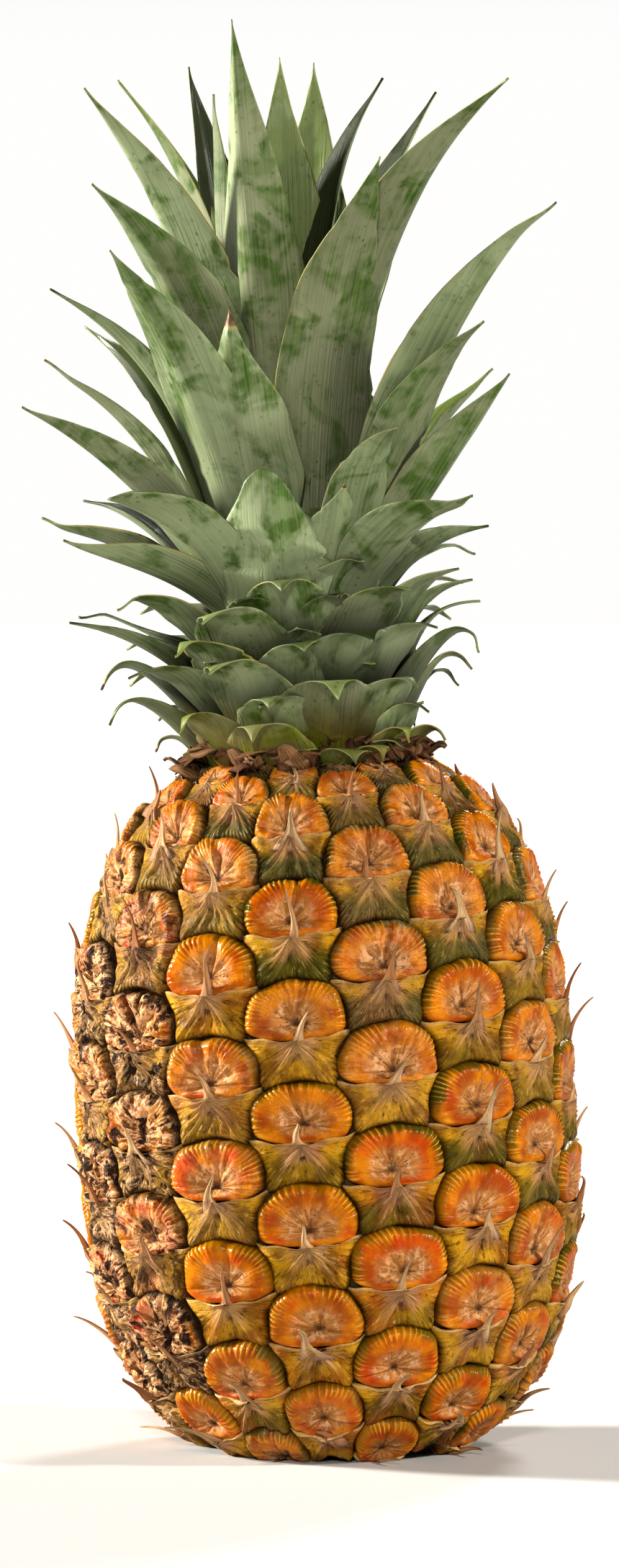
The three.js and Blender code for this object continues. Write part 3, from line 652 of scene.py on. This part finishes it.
def eye_bracts(name, replaced=()):
    """Each bract is a fan about the spine's foot: a grid of share along its outline, from wing to wing, and share
    out to it. It is a tent: highest at the foot, held up by a few uneven ribs, sagging between them, finely
    creased, and falling into the groove at its edge. Its upper edge, a thin lip, stands over the cap behind it and
    is closed by a small wall."""
    relief = EYE_RELIEF[:, None, None]
    green, red, dry = [t[:, None, None] for t in EYE_TINT]
    k = EYE_NUMBER[:, None, None]
    fan = np.concatenate([[0.0], np.linspace(0, 1, 45), [1.0]])[None, None, :]
    wall = np.array([1.0] + [0.0] * 45 + [1.0])[None, None, :]
    out = np.array([0.0, 0.07, 0.15, 0.24, 0.34, 0.44, 0.54, 0.64, 0.73, 0.81, 0.88, 0.94, 0.98, 1.0])[None, :, None]
    lengths = np.hypot(*(np.diff(BRACT_OUTLINE, axis=0) * (23.4, 25.7)).T)
    marks = np.append(0, np.cumsum(lengths)) / lengths.sum()
    edge_across = np.interp(fan, marks, BRACT_OUTLINE[:, 0])
    edge_up = np.interp(fan, marks, BRACT_OUTLINE[:, 1])
    wing = np.abs(2 * fan - 1) ** 8
    foot_up = 0.035
    across = edge_across * out
    up = mix(foot_up, edge_up, out) + 0.012 * wing * np.sin(11 * out + 6 * draw(k, 51) + 3 * fan)
    up = up - 0.03 * wing * np.sin(math.pi * out) * draw(k, 52) - 0.014 * wall
    bow = 0.03 * np.sin(math.pi * out)
    ribs = 0.0
    for n, (place, strength, varied) in enumerate(BRACT_RIBS):
        middle = place + 0.045 * jitter(k, 120 + n) + bow * jitter(k, 130 + n)
        strength = strength + varied * draw(k, 140 + n) ** 2
        ribs = ribs + strength * bell(fan, middle, 0.013 + 0.018 * draw(k, 150 + n))
    creases = np.sin(fan * 2 * math.pi * (9 + np.round(3 * draw(k, 53))) + 6 * draw(k, 54) + 1.5 * np.sin(5 * out))
    sag = bell(fan, 0.5, 0.085) + 0.6 * bell(fan, 0.19, 0.07) + 0.6 * bell(fan, 0.81, 0.07)
    rise = 3.1 - 1.2 * out**1.3 + 1.0 * bell(out, 0.0, 0.2) - 1.25 * sag * smooth(out / 0.4) * (1 - 0.5 * out)
    rise = rise + (0.9 + 0.4 * dry) * ribs * smooth(out / 0.2) * (1 - 0.5 * out) + 0.4 * bell(out, 0.8, 0.12)
    creases = creases * smooth(out / 0.3) * smooth((1 - out) / 0.3) * (1 - wing)
    rise = rise + (0.1 + 0.35 * draw(k, 108) + 0.35 * dry) * creases
    lip = bell(np.minimum(fan, 1 - fan), 0.0, 0.022)
    curl = np.sin(9 * out + 6 * draw(k, 57) + 3 * fan) * bell(np.minimum(fan, 1 - fan), 0.0, 0.04)
    rise = rise + (0.45 * lip * smooth((1 - out) / 0.4) + 0.35 * curl * smooth((1 - out) / 0.3)) * smooth(out / 0.12)
    buckle = np.sin(14 * across + 9 * up + 6 * draw(k, 58)) * np.sin(15 * up - 6 * across + 6 * draw(k, 59))
    rise = rise + (0.2 + 0.8 * dry) * buckle * smooth(out / 0.25)
    fall = np.sqrt(np.maximum(0, 1 - np.clip((out - 0.86) / 0.14, 0, 1) ** 2))
    fall = mix(fall, np.sqrt(np.maximum(0, 1 - out**6)), wing)
    lift = (rise * relief + GROOVE_DEPTH) * fall - GROOVE_DEPTH
    lift = lift - wall * (2.6 * relief + 0.2) * fall
    points = skin_point(EYE_COLUMN[:, None, None] + across, EYE_ROW[:, None, None] + up, lift)
    low = np.clip((foot_up - up) / 0.4, 0, 1)
    blank = 0 * lift
    attributes = {
        "polar": fields(fan + draw(k, 56) + blank, out + blank, low),
        "tint": fields(green + blank, red + blank, dry + blank),
        "form": fields(lip * (1 - wall) + blank, ribs + blank, sag + blank),
    }
    quads = grid_faces(len(EYE_COLUMN), out.size, fan.size)
    return make_piece(name, leaned(points), quads, BRACT, replaced, attributes, 0.2)


RING_ACROSS = np.array([-1.0, -0.55, 0.0, 0.55, 1.0, 0.55, 0.0, -0.55])
RING_THROUGH = np.array([0.0, -1.0, -1.0, -1.0, 0.0, 1.0, 1.0, 1.0])


def ribbon(path, across, width, thick, fold):
    """A flat, folded blade round each path: at each step a ring of eight points, wide across and thin along its
    normal, its two edges folded up by fold. Arrays are (blades, steps, 3), (blades, 3) and (blades, steps)."""
    tangent = np.gradient(path, axis=1)
    tangent /= np.linalg.norm(tangent, axis=-1, keepdims=True)
    side = across[:, None] - tangent * (across[:, None] * tangent).sum(-1, keepdims=True)
    side /= np.linalg.norm(side, axis=-1, keepdims=True)
    normal = np.cross(side, tangent)
    sideways = width[:, :, None] * RING_ACROSS / 2
    outwards = thick[:, :, None] * RING_THROUGH / 2 + fold[:, :, None] * np.abs(RING_ACROSS) ** 1.5
    return path[:, :, None] + side[:, :, None] * sideways[..., None] + normal[:, :, None] * outwards[..., None]


def paper_blades(name, rings, s, tone, material, replaced, level_floor=None):
    """One mesh of dry blades, from the rings of each at the shares s of its length, and their tones."""
    points = closed(rings)
    blank = 0 * points[..., 0]
    along = lengthened(s[..., None] + 0 * rings[..., 0])
    attributes = {"polar": fields(RING_ACROSS + blank, along, tone[:, None, None] + blank)}
    quads = grid_faces(len(rings), points.shape[1], 8, wrap=True)[:, ::-1]
    return make_piece(name, leaned(points), quads, material, replaced, attributes, level_floor)


def eye_spines(name):
    """Each spine runs on a bent path from its bract's foot over the cap to about the point where the solids have
    it. It is widest at its foot, folded along its middle, and wavers; some are broad and short, some hooked."""
    k = EYE_NUMBER
    s = np.linspace(0, 1, 13)[None, :]
    stout = smooth((draw(k, 10) - 0.62) / 0.1)
    length = SPINE_LENGTH * mix(0.55, 1, EYE_FLATTER) * (1 + 0.3 * jitter(k, 1)) * (1 - 0.3 * stout)
    lift = SPINE_FOOT_LIFT * EYE_FLATTER + length * mix(0.36, 0.56, draw(k, 3)) * (1 - 0.4 * stout)
    sideways = 0.22 * jitter(k, 2)
    rise = length * SPINE_RISE / ROW_HEIGHT
    foot = skin_point(EYE_COLUMN, EYE_ROW - 0.08, 2.0 * EYE_FLATTER)
    bend = skin_point(EYE_COLUMN + 0.1 * sideways, EYE_ROW + 0.62 * rise, (3.4 + 1.2 * draw(k, 4)) * EYE_FLATTER)
    point = skin_point(EYE_COLUMN + sideways, EYE_ROW + rise, lift)
    a, b, c = foot[:, None], bend[:, None], point[:, None]
    share = s[..., None]
    path = (1 - share) ** 2 * a + 2 * share * (1 - share) * b + share**2 * c
    angle = FIRST_COLUMN + EYE_COLUMN * 2 * math.pi / COLUMNS
    east = np.stack([np.cos(angle), np.sin(angle), 0 * angle], -1)
    away = np.stack([np.sin(angle), -np.cos(angle), 0 * angle], -1)
    waver = (1.4 * jitter(k, 15))[:, None] * np.sin(math.pi * s * 1.5)
    waver = waver + (2.6 * jitter(k, 16) * draw(k, 17))[:, None] * s**4
    hook = (3.5 * smooth((draw(k, 18) - 0.7) / 0.3))[:, None] * s**5
    path = path + east[:, None] * waver[..., None] - away[:, None] * hook[..., None]
    across = east + np.array([0, 0, 1.0]) * (0.45 * jitter(k, 5))[:, None]
    broad = (3.7 + 0.9 * jitter(k, 6) + 2.0 * stout)[:, None] * (0.5 + 0.5 * EYE_RELIEF[:, None])
    width = broad * (1 - s) ** (0.5 + 0.4 * draw(k, 7))[:, None] * (0.5 + 1.3 * bell(s, 0.0, 0.27)) + 0.15
    thick = 0.35 + 0.75 * (1 - s) ** 1.5 + 0 * width
    fold = 0.4 * width * np.where(draw(k, 8) < 0.35, -1.0, 1.0)[:, None] * (0.15 + 0.85 * smooth(s / 0.4))
    return paper_blades(name, ribbon(path, across, width, thick, fold), s, draw(k, 9), SPINE, (), 0.15)


def fruit_ground(name):
    """The closed skin under caps and bracts: the profile turned round the axis, a little above the groove's floor,
    closed by the flat top and by a shallow dimple round the stalk below."""
    rows = np.linspace(LOWEST_ROW + 0.4, HIGHEST_ROW, 90)
    column = np.linspace(0, COLUMNS, 137)[:-1]
    skin = skin_point(column[None, :], rows[:, None], -0.7)
    top = np.concatenate([skin[-1:] * (share, share, 1) for share in (0.75, 0.4, 0.0)])
    low = np.concatenate([skin[:1] * (share, share, 1) for share in (0.0, 0.4, 0.75)])
    points = np.concatenate([low, skin, top])
    quads = grid_faces(1, len(points), len(column), wrap=True)
    return make_piece(name, leaned(points), quads, GROOVE, (), {}, 0.3)


def collar_leaves(name, replaced):
    """The dry bracts round the crown's foot: folded blades in rings that spread out over the fruit's top and curl
    up at their points."""
    k = np.arange(COLLAR_PIECES) + 500
    s = np.linspace(0, 1, 9)[None, :]
    ring = np.arange(COLLAR_PIECES) % COLLAR_RINGS
    facing = (np.arange(COLLAR_PIECES) * GOLDEN_ANGLE + 8 * jitter(k, 61)) * DEGREE
    out = np.stack([np.sin(facing), -np.cos(facing), 0 * facing], -1)
    side = np.stack([np.cos(facing), np.sin(facing), 0 * facing], -1)
    up = np.array([0.0, 0.0, 1.0])
    start_r = 21.0 + 1.9 * ring
    height = FRUIT_TOP + CLEARANCE + 4.0 - 1.25 * ring
    length = 6.5 + 7.5 * draw(k, 62)
    a = out * start_r[:, None] + up * height[:, None]
    b = a + out * (0.55 * length * draw(k, 68))[:, None] + up * (0.35 * length)[:, None]
    lean = (15 + 65 * draw(k, 63)) * DEGREE
    drop = -0.3 * draw(k, 69) * (ring > 1)
    c = a + out * (0.8 * length * np.sin(lean))[:, None] + up * (length * (0.55 * np.cos(lean) + drop))[:, None]
    c = c + side * (7 * jitter(k, 64))[:, None]
    share = s[..., None]
    path = (1 - share) ** 2 * a[:, None] + 2 * share * (1 - share) * b[:, None] + share**2 * c[:, None]
    path = path + up * (1.5 * jitter(k, 70)[:, None] * np.sin(math.pi * 1.6 * s))[..., None]
    width = (7.0 + 2.5 * jitter(k, 65))[:, None] * (1 - s) ** 0.6 * (0.7 + 0.6 * smooth(s / 0.3)) + 0.15
    thick = 0.35 + 0.4 * (1 - s) + 0 * width
    fold = 0.45 * width * jitter(k, 66)[:, None]
    return paper_blades(name, ribbon(path, side, width, thick, fold), s, draw(k, 67), COLLAR, replaced)


# The crown

# Each long leaf's azimuth and root height, its tip's distance from the axis and height, its width, its lean where
# it leaves the stem and at its tip, and how blunt it ends. The first starts lower than in the solids.
LONG_LEAVES = np.array([
    (-14, 57, 32, 192.2, 25, 8, 5, 0), (168, 74, 18, 185, 24, 5, 3, 0), (150, 72, 27, 183, 26, 5, 10, 0),
    (120, 72, 35.5, 178, 22, 6, 37, 0), (115, 66, 50, 173, 25, 12, 39, 0), (48, 66, 83, 171, 26, 14, 62, 0),
    (55, 58, 87, 141, 23, 40, 54, 0), (30, 60, 57, 153, 27, 10, 46, 0), (50, 54, 68, 111, 21, 42, 62, 0),
    (70, 50, 62.5, 97.5, 18, 54, 42, 0), (35, 46, 50, 86, 18, 46, 68, 0), (-25, 55, 32, 119, 25, 17, 1, 0),
    (-12, 34, 33, 77, 29, 30, 4, 0.06), (25, 47, 34, 72, 18, 30, 14, 0), (-75, 70, 14, 175, 20, 6, -4, 0),
    (-135, 72, 28, 184, 20, 5, 6, 0), (-110, 68, 41.5, 181, 20, 8, 38, 0), (-62, 64, 53, 177, 28, 10, 38, 0),
    (-52, 58, 58, 152, 26, 12, 50, 0), (-45, 50, 60, 134, 25, 18, 44, 0), (-80, 52, 60, 126.5, 15, 14, 58, 0),
    (-82, 48, 63, 107, 15, 28, 61, 0), (-72, 46, 71, 96.5, 18, 36, 58, 0), (-50, 38, 60, 71, 24, 24, 80, 0.1),
    (45, 41, 66, 64.5, 20, 38, 86, 0), (80, 41, 52, 58.5, 20, 40, 84, 0), (-95, 43, 66, 66, 18, 44, 74, 0),
    (-70, 40, 63, 61, 20, 40, 66, 0), (140, 58, 60, 151, 24, 14, 44, 0), (178, 62, 52, 160, 26, 14, 32, 0),
    (-156, 57, 60, 143, 24, 18, 46, 0), (-128, 51, 66, 118, 21, 28, 56, 0), (160, 49, 67, 113, 22, 30, 56, 0),
    (120, 46, 65, 99, 20, 36, 60, 0), (-172, 44, 66, 92, 21, 36, 64, 0), (-118, 39, 62, 72, 20, 40, 74, 0),
    (110, 80, 7, 132, 15, 2, 3, 0), (-170, 80, 9, 140, 15, 3, 4, 0),
])


# The short leaves of the front and the sides, in the same columns.
SCOOPS = np.array([
    (65, 33, 47, 48, 19, 44, 84, 0), (85, 30, 46.5, 45, 17, 46, 84, 0), (100, 24, 49, 39, 16, 48, 92, 0),
    (46, 22, 50, 34, 20, 48, 100, 0), (80, 17, 49, 27, 16, 44, 150, 0), (95, 11, 45.5, 22, 15, 46, 140, 0),
    (115, 9, 47, 20, 15, 50, 112, 0), (60, 4, 38, 12, 19, 48, 120, 0), (75, 2, 38, 4, 16, 46, 150, 0),
    (-62, 32, 52, 46, 18, 46, 88, 0), (-100, 31, 57, 44, 16, 52, 66, 0), (-80, 27, 60, 40, 17, 57, 78, 0),
    (-58, 16, 52, 25, 20, 48, 108, 0), (-85, 14, 52, 22, 16, 48, 155, 0), (-74, 7, 52, 13, 16, 50, 155, 0),
    (-48, 3, 44, 13, 19, 48, 112, 0), (-68, 2, 34, 4, 15, 50, 115, 0), (-30, 26, 48, 38, 26, 44, 118, 0),
    (-30, 13, 46, 25, 26, 44, 118, 0), (-20, 2, 40, 9, 23, 46, 122, 0), (24, 22, 48, 31, 26, 46, 118, 0),
    (12, 10, 47, 19, 26, 46, 118, 0), (20, 1, 38, 0, 17, 50, 150, 0), (36, 31, 50, 44, 21, 46, 94, 0),
    (34, 1, 37, 0.5, 12, 52, 160, 0), (-5, 33, 40, 46, 25, 44, 116, 0), (-95, 3, 40, 6, 16, 48, 130, 0),
    (2, 20, 42, 30, 25, 46, 114, 0), (-12, 7, 41, 16, 25, 46, 118, 0), (45, 11, 43, 20, 23, 48, 105, 0),
    (-44, 22, 46, 33, 23, 48, 98, 0), (52, 2, 36, 6, 16, 50, 130, 0),
    (-24, 33, 38, 43, 20, 38, 100, 0), (18, 32, 38, 43, 20, 38, 100, 0),
])

# The long leaves whose inner faces are painted nearly black-green as painted shade, those whose inner faces are
# painted pale as painted light, those with dried tips, and those with a shallower channel.
SHADED_INSIDE = (3, 4, 15)
LIT_INSIDE = (1, 2, 16, 5)
DRIED_TIPS = (11, 13, 20, 21, 23, 32)
FLATTER_LEAVES = (1, 2, 7, 8)


def short_leaves():
    """The short leaves: those that the photo shows, and others behind, a golden angle apart, that go on in the
    same way."""
    n = np.arange(17)
    share = n / 16
    root = mix(5, 44, share)
    behind = np.stack([
        180 + 62 * np.sin(n * GOLDEN_ANGLE * DEGREE * 1.7), root, mix(41, 54, smooth(share * 2.5)) + 3 * jitter(n, 12),
        root + mix(1, 13, share), 20 + 3 * jitter(n, 14), mix(42, 34, share), mix(140, 96, share) + 8 * jitter(n, 16),
        0 * share,
    ], -1)
    return np.concatenate([SCOOPS, behind])


def scale_leaves():
    """Broad, short leaves close to the stem, which hide it between the others."""
    n = np.arange(24)
    share = n / 23
    root = mix(6, 50, share)
    return np.stack([
        72 + n * GOLDEN_ANGLE + 8 * jitter(n, 171), root, stem_radius(root) + mix(8, 11, draw(n, 172)),
        root + mix(8, 14, share) + 2 * jitter(n, 173), 26 + 2 * jitter(n, 174), 10 + 4 * jitter(n, 175),
        mix(80, 50, share) + 10 * jitter(n, 176), 0 * share,
    ], -1)


def foot_leaves():
    """Small hanging leaves below the short ones, which cover the stem's foot."""
    n = np.arange(7)
    return np.stack([
        75 + n * GOLDEN_ANGLE + 9 * jitter(n, 71), 1.5 + 3 * draw(n, 72), 29 + 5 * draw(n, 73), 1.5 + 4 * draw(n, 74),
        14 + 4 * draw(n, 75), 36 + 10 * draw(n, 76), 110 + 50 * draw(n, 77), 0.0 * n,
    ], -1)


def stem_radius(h):
    """The stem's core is a tall half of an ellipsoid."""
    return STEM_RADIUS * np.sqrt(1 - np.clip(h / STEM_HEIGHT, 0, 1) ** 2)


def blades(name, leaves, steps, columns, foot_share, first, material, replaced, scoop):
    """Each leaf is a grid of share along its curve and share across its width. The curve is a cubic through the
    upright plane at the leaf's azimuth; the width grows from the foot, holds, and tapers to the tip; the edges
    lift towards the stem as a channel, and the blade thins to them. The underside is the same grid set back by
    the thickness, joined at both edges. A scoop clasps the stem, is more deeply channelled, tapers all along and
    hangs its tip."""
    sheath, pull_share = 4.0 * scoop, mix(0.38, 0.5, scoop)
    n = np.arange(len(leaves)) + first
    azimuth, root, reach, tip, width, lean_out, lean_tip, blunt = [c[:, None] for c in leaves.T]
    facing = azimuth * DEGREE
    zero = 0 * facing
    outwards = np.concatenate([np.sin(facing), -np.cos(facing), zero], 1)
    across = np.concatenate([np.cos(facing), np.sin(facing), zero], 1)
    up = np.array([[0.0, 0.0, 1.0]])

    def heading(lean):
        return outwards * np.sin(lean * DEGREE) + up * np.cos(lean * DEGREE)

    start = outwards * (stem_radius(root - sheath) - mix(ROOT_DEPTH, 3.0, scoop)) + up * (root - 5.0 - 1.3 * sheath)
    end = outwards * reach + up * tip
    pull = np.linalg.norm(end - start, axis=1, keepdims=True) * pull_share
    near, far = start + heading(lean_out) * pull, end - heading(lean_tip) * pull
    s = (1 - (1 - np.linspace(0, 1, steps)) ** 1.25)[None, :]
    t = s[..., None]
    a, b, c, d = start[:, None], near[:, None], far[:, None], end[:, None]
    path = (1 - t) ** 3 * a + 3 * t * (1 - t) ** 2 * b + 3 * t * t * (1 - t) * c + t**3 * d
    along = (1 - t) ** 2 * (b - a) + 2 * t * (1 - t) * (c - b) + t * t * (d - c)
    along /= np.linalg.norm(along, axis=-1, keepdims=True)
    inner = np.cross(along, across[:, None])
    bend = mix(3.2 * jitter(n, 97) * draw(n, 98), -4.0 * draw(n, 98) ** 2, scoop)
    path = path + inner * smooth((t - 0.86) / 0.14) ** 1.5 * bend[:, None, None]
    roll = -13 * np.sin(facing) * smooth((np.cos(facing) + 0.4) / 0.4)
    roll = roll + 34 * np.sin(facing) * smooth((-0.8 - np.cos(facing)) / 0.06)
    twist = ((9 * jitter(n, 81)[:, None] * s**1.5 + roll * s**0.7) * DEGREE)[..., None]
    side = across[:, None] * np.cos(twist) + inner * np.sin(twist)
    inner = inner * np.cos(twist) - across[:, None] * np.sin(twist)
    taper = mix(BLADE_TAPER, 0.66, scoop)
    towards_tip = np.sin(math.pi / 2 * np.minimum(1, (1 - s) / taper)) ** 1.15
    towards_tip = towards_tip + (1 - towards_tip) * np.sqrt(blunt * np.minimum(1, (1 - s) / 0.06))
    blade = np.minimum(1, foot_share + 1.2 * s) * towards_tip
    half = width / 2 * np.maximum(0.012, blade)
    u = np.linspace(-1, 1, columns)[None, None, :]
    ripple = 0.035 * np.sin(s[..., None] * (14 + 10 * draw(n, 82)[:, None, None]) + 6 * draw(n, 83)[:, None, None] + u)
    nick = np.zeros((len(leaves), steps, 1))
    for k in range(3):
        middle = mix(0.45, 0.97, draw(n, 84 + k))[:, None, None]
        deep = 0.16 * draw(n, 87 + k)[:, None, None] ** 3
        nick = nick + deep * bell(s[..., None], middle, 0.008 + 0.012 * draw(n, 90 + k)[:, None, None])
    reach_across = half[..., None] * u * (1 + ripple * np.abs(u) - nick)
    cup = half * mix(0.22 + 0.8 * s * (1 - s) + 0.1 * s, 0.62 - 0.5 * smooth(s / 0.75), scoop)
    flat = np.isin(n, FLATTER_LEAVES)
    cup = cup * (1 - 0.5 * flat[:, None])
    crease = np.where(n == 0, 1.5, 0.5 * jitter(n, 99) * (1 - scoop) * ~flat)[:, None, None]
    lift = cup[..., None] * np.abs(u) ** mix(1.25, 1.9, scoop) + 0.25 * ripple * half[..., None] * u
    lift = lift + np.abs(crease) * half[..., None] * np.maximum(0, -u * np.sign(crease) - 0.3)
    thick = mix(LEAF_THICKNESS, LEAF_EDGE, s)[..., None] * (0.3 + 0.7 * (1 - u**2))
    front = path[:, :, None] + side[:, :, None] * reach_across[..., None] + inner[:, :, None] * lift[..., None]
    back = front + inner[:, :, None] * thick[..., None]
    points = np.concatenate([front, back[:, :, ::-1]], 2)
    both = np.concatenate([u, u[..., ::-1]], 2)
    face = np.concatenate([0 * u, 0 * u + 1], 2)
    width_mm = half[..., None] * both
    run = np.cumsum(np.linalg.norm(np.diff(path, axis=1, prepend=path[:, :1]), axis=-1), 1)[..., None]
    dried = np.where(n < 100, np.isin(n, DRIED_TIPS), draw(n, 101) > 0.6)[:, None, None]
    tip_dry = smooth((s[..., None] - (1 - 0.03 - 0.09 * draw(n, 94)[:, None, None] ** 3)) / 0.08)
    margin = smooth((np.abs(both) - 0.93) / 0.07) * (0.2 + 0.4 * draw(n, 95)[:, None, None] ** 2)
    dry = np.maximum(tip_dry * dried, margin)
    blank = 0 * width_mm
    blade_state = fields(width_mm, s[..., None] + blank, face + blank)
    # Painted shade and light: the leaves listed for shaded inner faces take the lowest tone, which paints those faces
    # nearly black, and those listed for lit inner faces the highest.
    tone = np.where(np.isin(n, SHADED_INSIDE), 0.0, np.where(np.isin(n, LIT_INSIDE), 1.0, draw(n, 96)))
    # Painted light: the outer face of the front leaf's left third, where it folds back, is painted paler through a
    # tone below 0.
    painted_fold_light = 1.3 * (n == 0)[:, None, None] * smooth((-both - 0.3) / 0.12) * (1 - face)
    leaf_state = fields(tone[:, None, None] - painted_fold_light + blank, dry + blank, run + 37 * n[:, None, None] + blank)
    attributes = {"blade": lengthened(blade_state), "state": lengthened(leaf_state)}
    points = closed(points) + (0, 0, FRUIT_TOP + CLEARANCE)
    quads = grid_faces(len(leaves), points.shape[1], 2 * columns, wrap=True)
    return make_piece(name, leaned(points), quads, material, replaced, attributes)


def crown_stem(name):
    """The core is a half ellipsoid turned round the axis, closed below."""
    h = np.append(0, STEM_HEIGHT * np.sin(np.linspace(0, math.pi / 2, 24)))
    r = stem_radius(h) * 0.97
    r[0] = 0.0
    turn = np.linspace(0, 2 * math.pi, 49)[:-1]
    points = np.stack([np.sin(turn)[None] * r[:, None], -np.cos(turn)[None] * r[:, None],
                       0 * turn[None] + h[:, None] + FRUIT_TOP + CLEARANCE], -1)
    return make_piece(name, leaned(points), grid_faces(1, len(h), 48, wrap=True), STEM)


def stalk_end(name, replaced):
    """The stub is a profile turned round the upright axis, its cut face slightly dished and its side fluted."""
    r = np.array([0.0, 4.0, 8.0, 11.0, STALK_RADIUS - 1.2, STALK_RADIUS - 0.4, STALK_RADIUS, STALK_RADIUS, 8.0, 0.0])
    z = np.array([0.5, 0.4, 0.2, 0.0, 0.0, 0.6, 2.0, STALK_DEPTH - CLEARANCE, STALK_DEPTH - CLEARANCE,
                  STALK_DEPTH - CLEARANCE])
    turn = np.linspace(0, 2 * math.pi, 97)[:-1]
    flute = 1 - 0.02 * (0.5 + 0.5 * np.cos(turn * 22)) * (r[:, None] > 9)
    points = np.stack([np.sin(turn) * r[:, None] * flute, -np.cos(turn) * r[:, None] * flute,
                       z[:, None] + 0 * turn], -1)
    return make_piece(name, points, grid_faces(1, len(r), 96, wrap=True), STALK, replaced)


# Camera, lights and ground


def look_from(location, target, lens):
    """A camera at location that looks at target, both in metres."""
    camera = bpy.data.objects.new("camera", bpy.data.cameras.new("camera"))
    bpy.context.scene.collection.objects.link(camera)
    camera.location = location
    back = np.array(location) - np.array(target)
    turn = math.atan2(back[0], -back[1])
    tilt = math.atan2(back[2], math.hypot(back[0], back[1]))
    camera.rotation_euler = (math.pi / 2 - tilt, 0, turn)
    camera.data.lens = lens
    bpy.context.scene.camera = camera


def lamp(name, azimuth, elevation, spread, strength, colour):
    """A round light far off, spread degrees wide, that shines on all sides alike with strength watts a square
    metre, so that the floor is as bright far away as it is by the fruit."""
    light = bpy.data.lights.new(name, "SUN")
    light.angle = spread * DEGREE
    light.energy = strength
    light.color = colour
    piece = bpy.data.objects.new(name, light)
    bpy.context.scene.collection.objects.link(piece)
    piece.rotation_euler = (math.pi / 2 - elevation * DEGREE, 0, azimuth * DEGREE)


def pale_floor(reach):
    """A flat, pale sheet under the fruit that reaches past the edge of every view."""
    mesh = bpy.data.meshes.new("floor")
    corners = [(-reach, -reach, 0), (reach, -reach, 0), (reach, reach, 0), (-reach, reach, 0)]
    mesh.from_pydata(corners, [], [(0, 1, 2, 3)])
    f = Finish("pale paper", 0.9)
    mesh.materials.append(f.done(f.blend("cacac8", "d0d0ce", f.noise(3, 2))))
    piece = bpy.data.objects.new("floor", mesh)
    bpy.context.scene.collection.objects.link(piece)


def pale_sky():
    """A world that is white round the horizon, as a studio's paper is, and dim overhead."""
    world = bpy.data.worlds.new("studio")
    world.use_nodes = True
    nodes, links = world.node_tree.nodes, world.node_tree.links
    split = nodes.new("ShaderNodeSeparateXYZ")
    links.new(nodes.new("ShaderNodeTexCoord").outputs["Generated"], split.inputs[0])
    fade = nodes.new("ShaderNodeMapRange")
    fade.interpolation_type = "SMOOTHSTEP"
    for socket, value in zip(fade.inputs, (0.0, 0.06, 0.22, 1.0, 0.04)):
        socket.default_value = value
    links.new(split.outputs[2], fade.inputs[0])
    links.new(fade.outputs[0], nodes["Background"].inputs["Strength"])
    nodes["Background"].inputs["Color"].default_value = (1.0, 0.995, 0.985, 1.0)
    bpy.context.scene.world = world


CAP = cap_finish()
BRACT = bract_finish()
SPINE = paper_finish("spine", "dcc295", "a86e42", "96765c")
# The collar's bracts are painted nearly black at their feet: painted shade under the crown's leaves.
COLLAR = paper_finish("dry bract", "96724e", "56361e", "1c0f06")
GROOVE = groove_finish()
LEAF = leaf_finish("long leaf", 0.1)
SHORT_LEAF = leaf_finish("short leaf", 0.95)
STEM = stem_finish()
STALK = stalk_finish()

even = EYE_COLUMN % 2 == 0
fruit_ground("fruit_ground")
eye_caps("eye_caps_even", even, ["fruit"])
eye_caps("eye_caps_odd", ~even, ["fruit"])
eye_bracts("eye_bracts", ["fruit"])
eye_spines("eye_spines")
collar_leaves("collar_bracts", ["bract_collar"])
blades("long_leaves", LONG_LEAVES, 46, 17, 0.6, 0, LEAF, ["crown"], 0)
blades("short_leaves", short_leaves(), 30, 17, 0.8, 100, SHORT_LEAF, ["crown"], 1)
blades("scale_leaves", scale_leaves(), 18, 13, 0.5, 300, SHORT_LEAF, ["crown"], 1)
blades("foot_leaves", foot_leaves(), 20, 13, 0.85, 200, SHORT_LEAF, ["crown"], 1)
crown_stem("crown_stem")
stalk_end("stalk_end", ["stem_stub"])

look_from(CAMERA, CAMERA_TARGET, CAMERA_LENS)
lamp("side light", -102, 18, 9, 9.5, (1.0, 0.97, 0.93))
lamp("front light", -4, 20, 5, 2.0, (1.0, 0.98, 0.95))
lamp("right light", 74, 24, 5, 2.9, (1.0, 0.98, 0.95))
lamp("back light", 160, 38, 12, 1.8, (1.0, 0.97, 0.94))
pale_floor(FLOOR_REACH)
pale_sky()
bpy.context.scene.view_settings.view_transform = "Standard"
bpy.context.scene.view_settings.gamma = 0.8
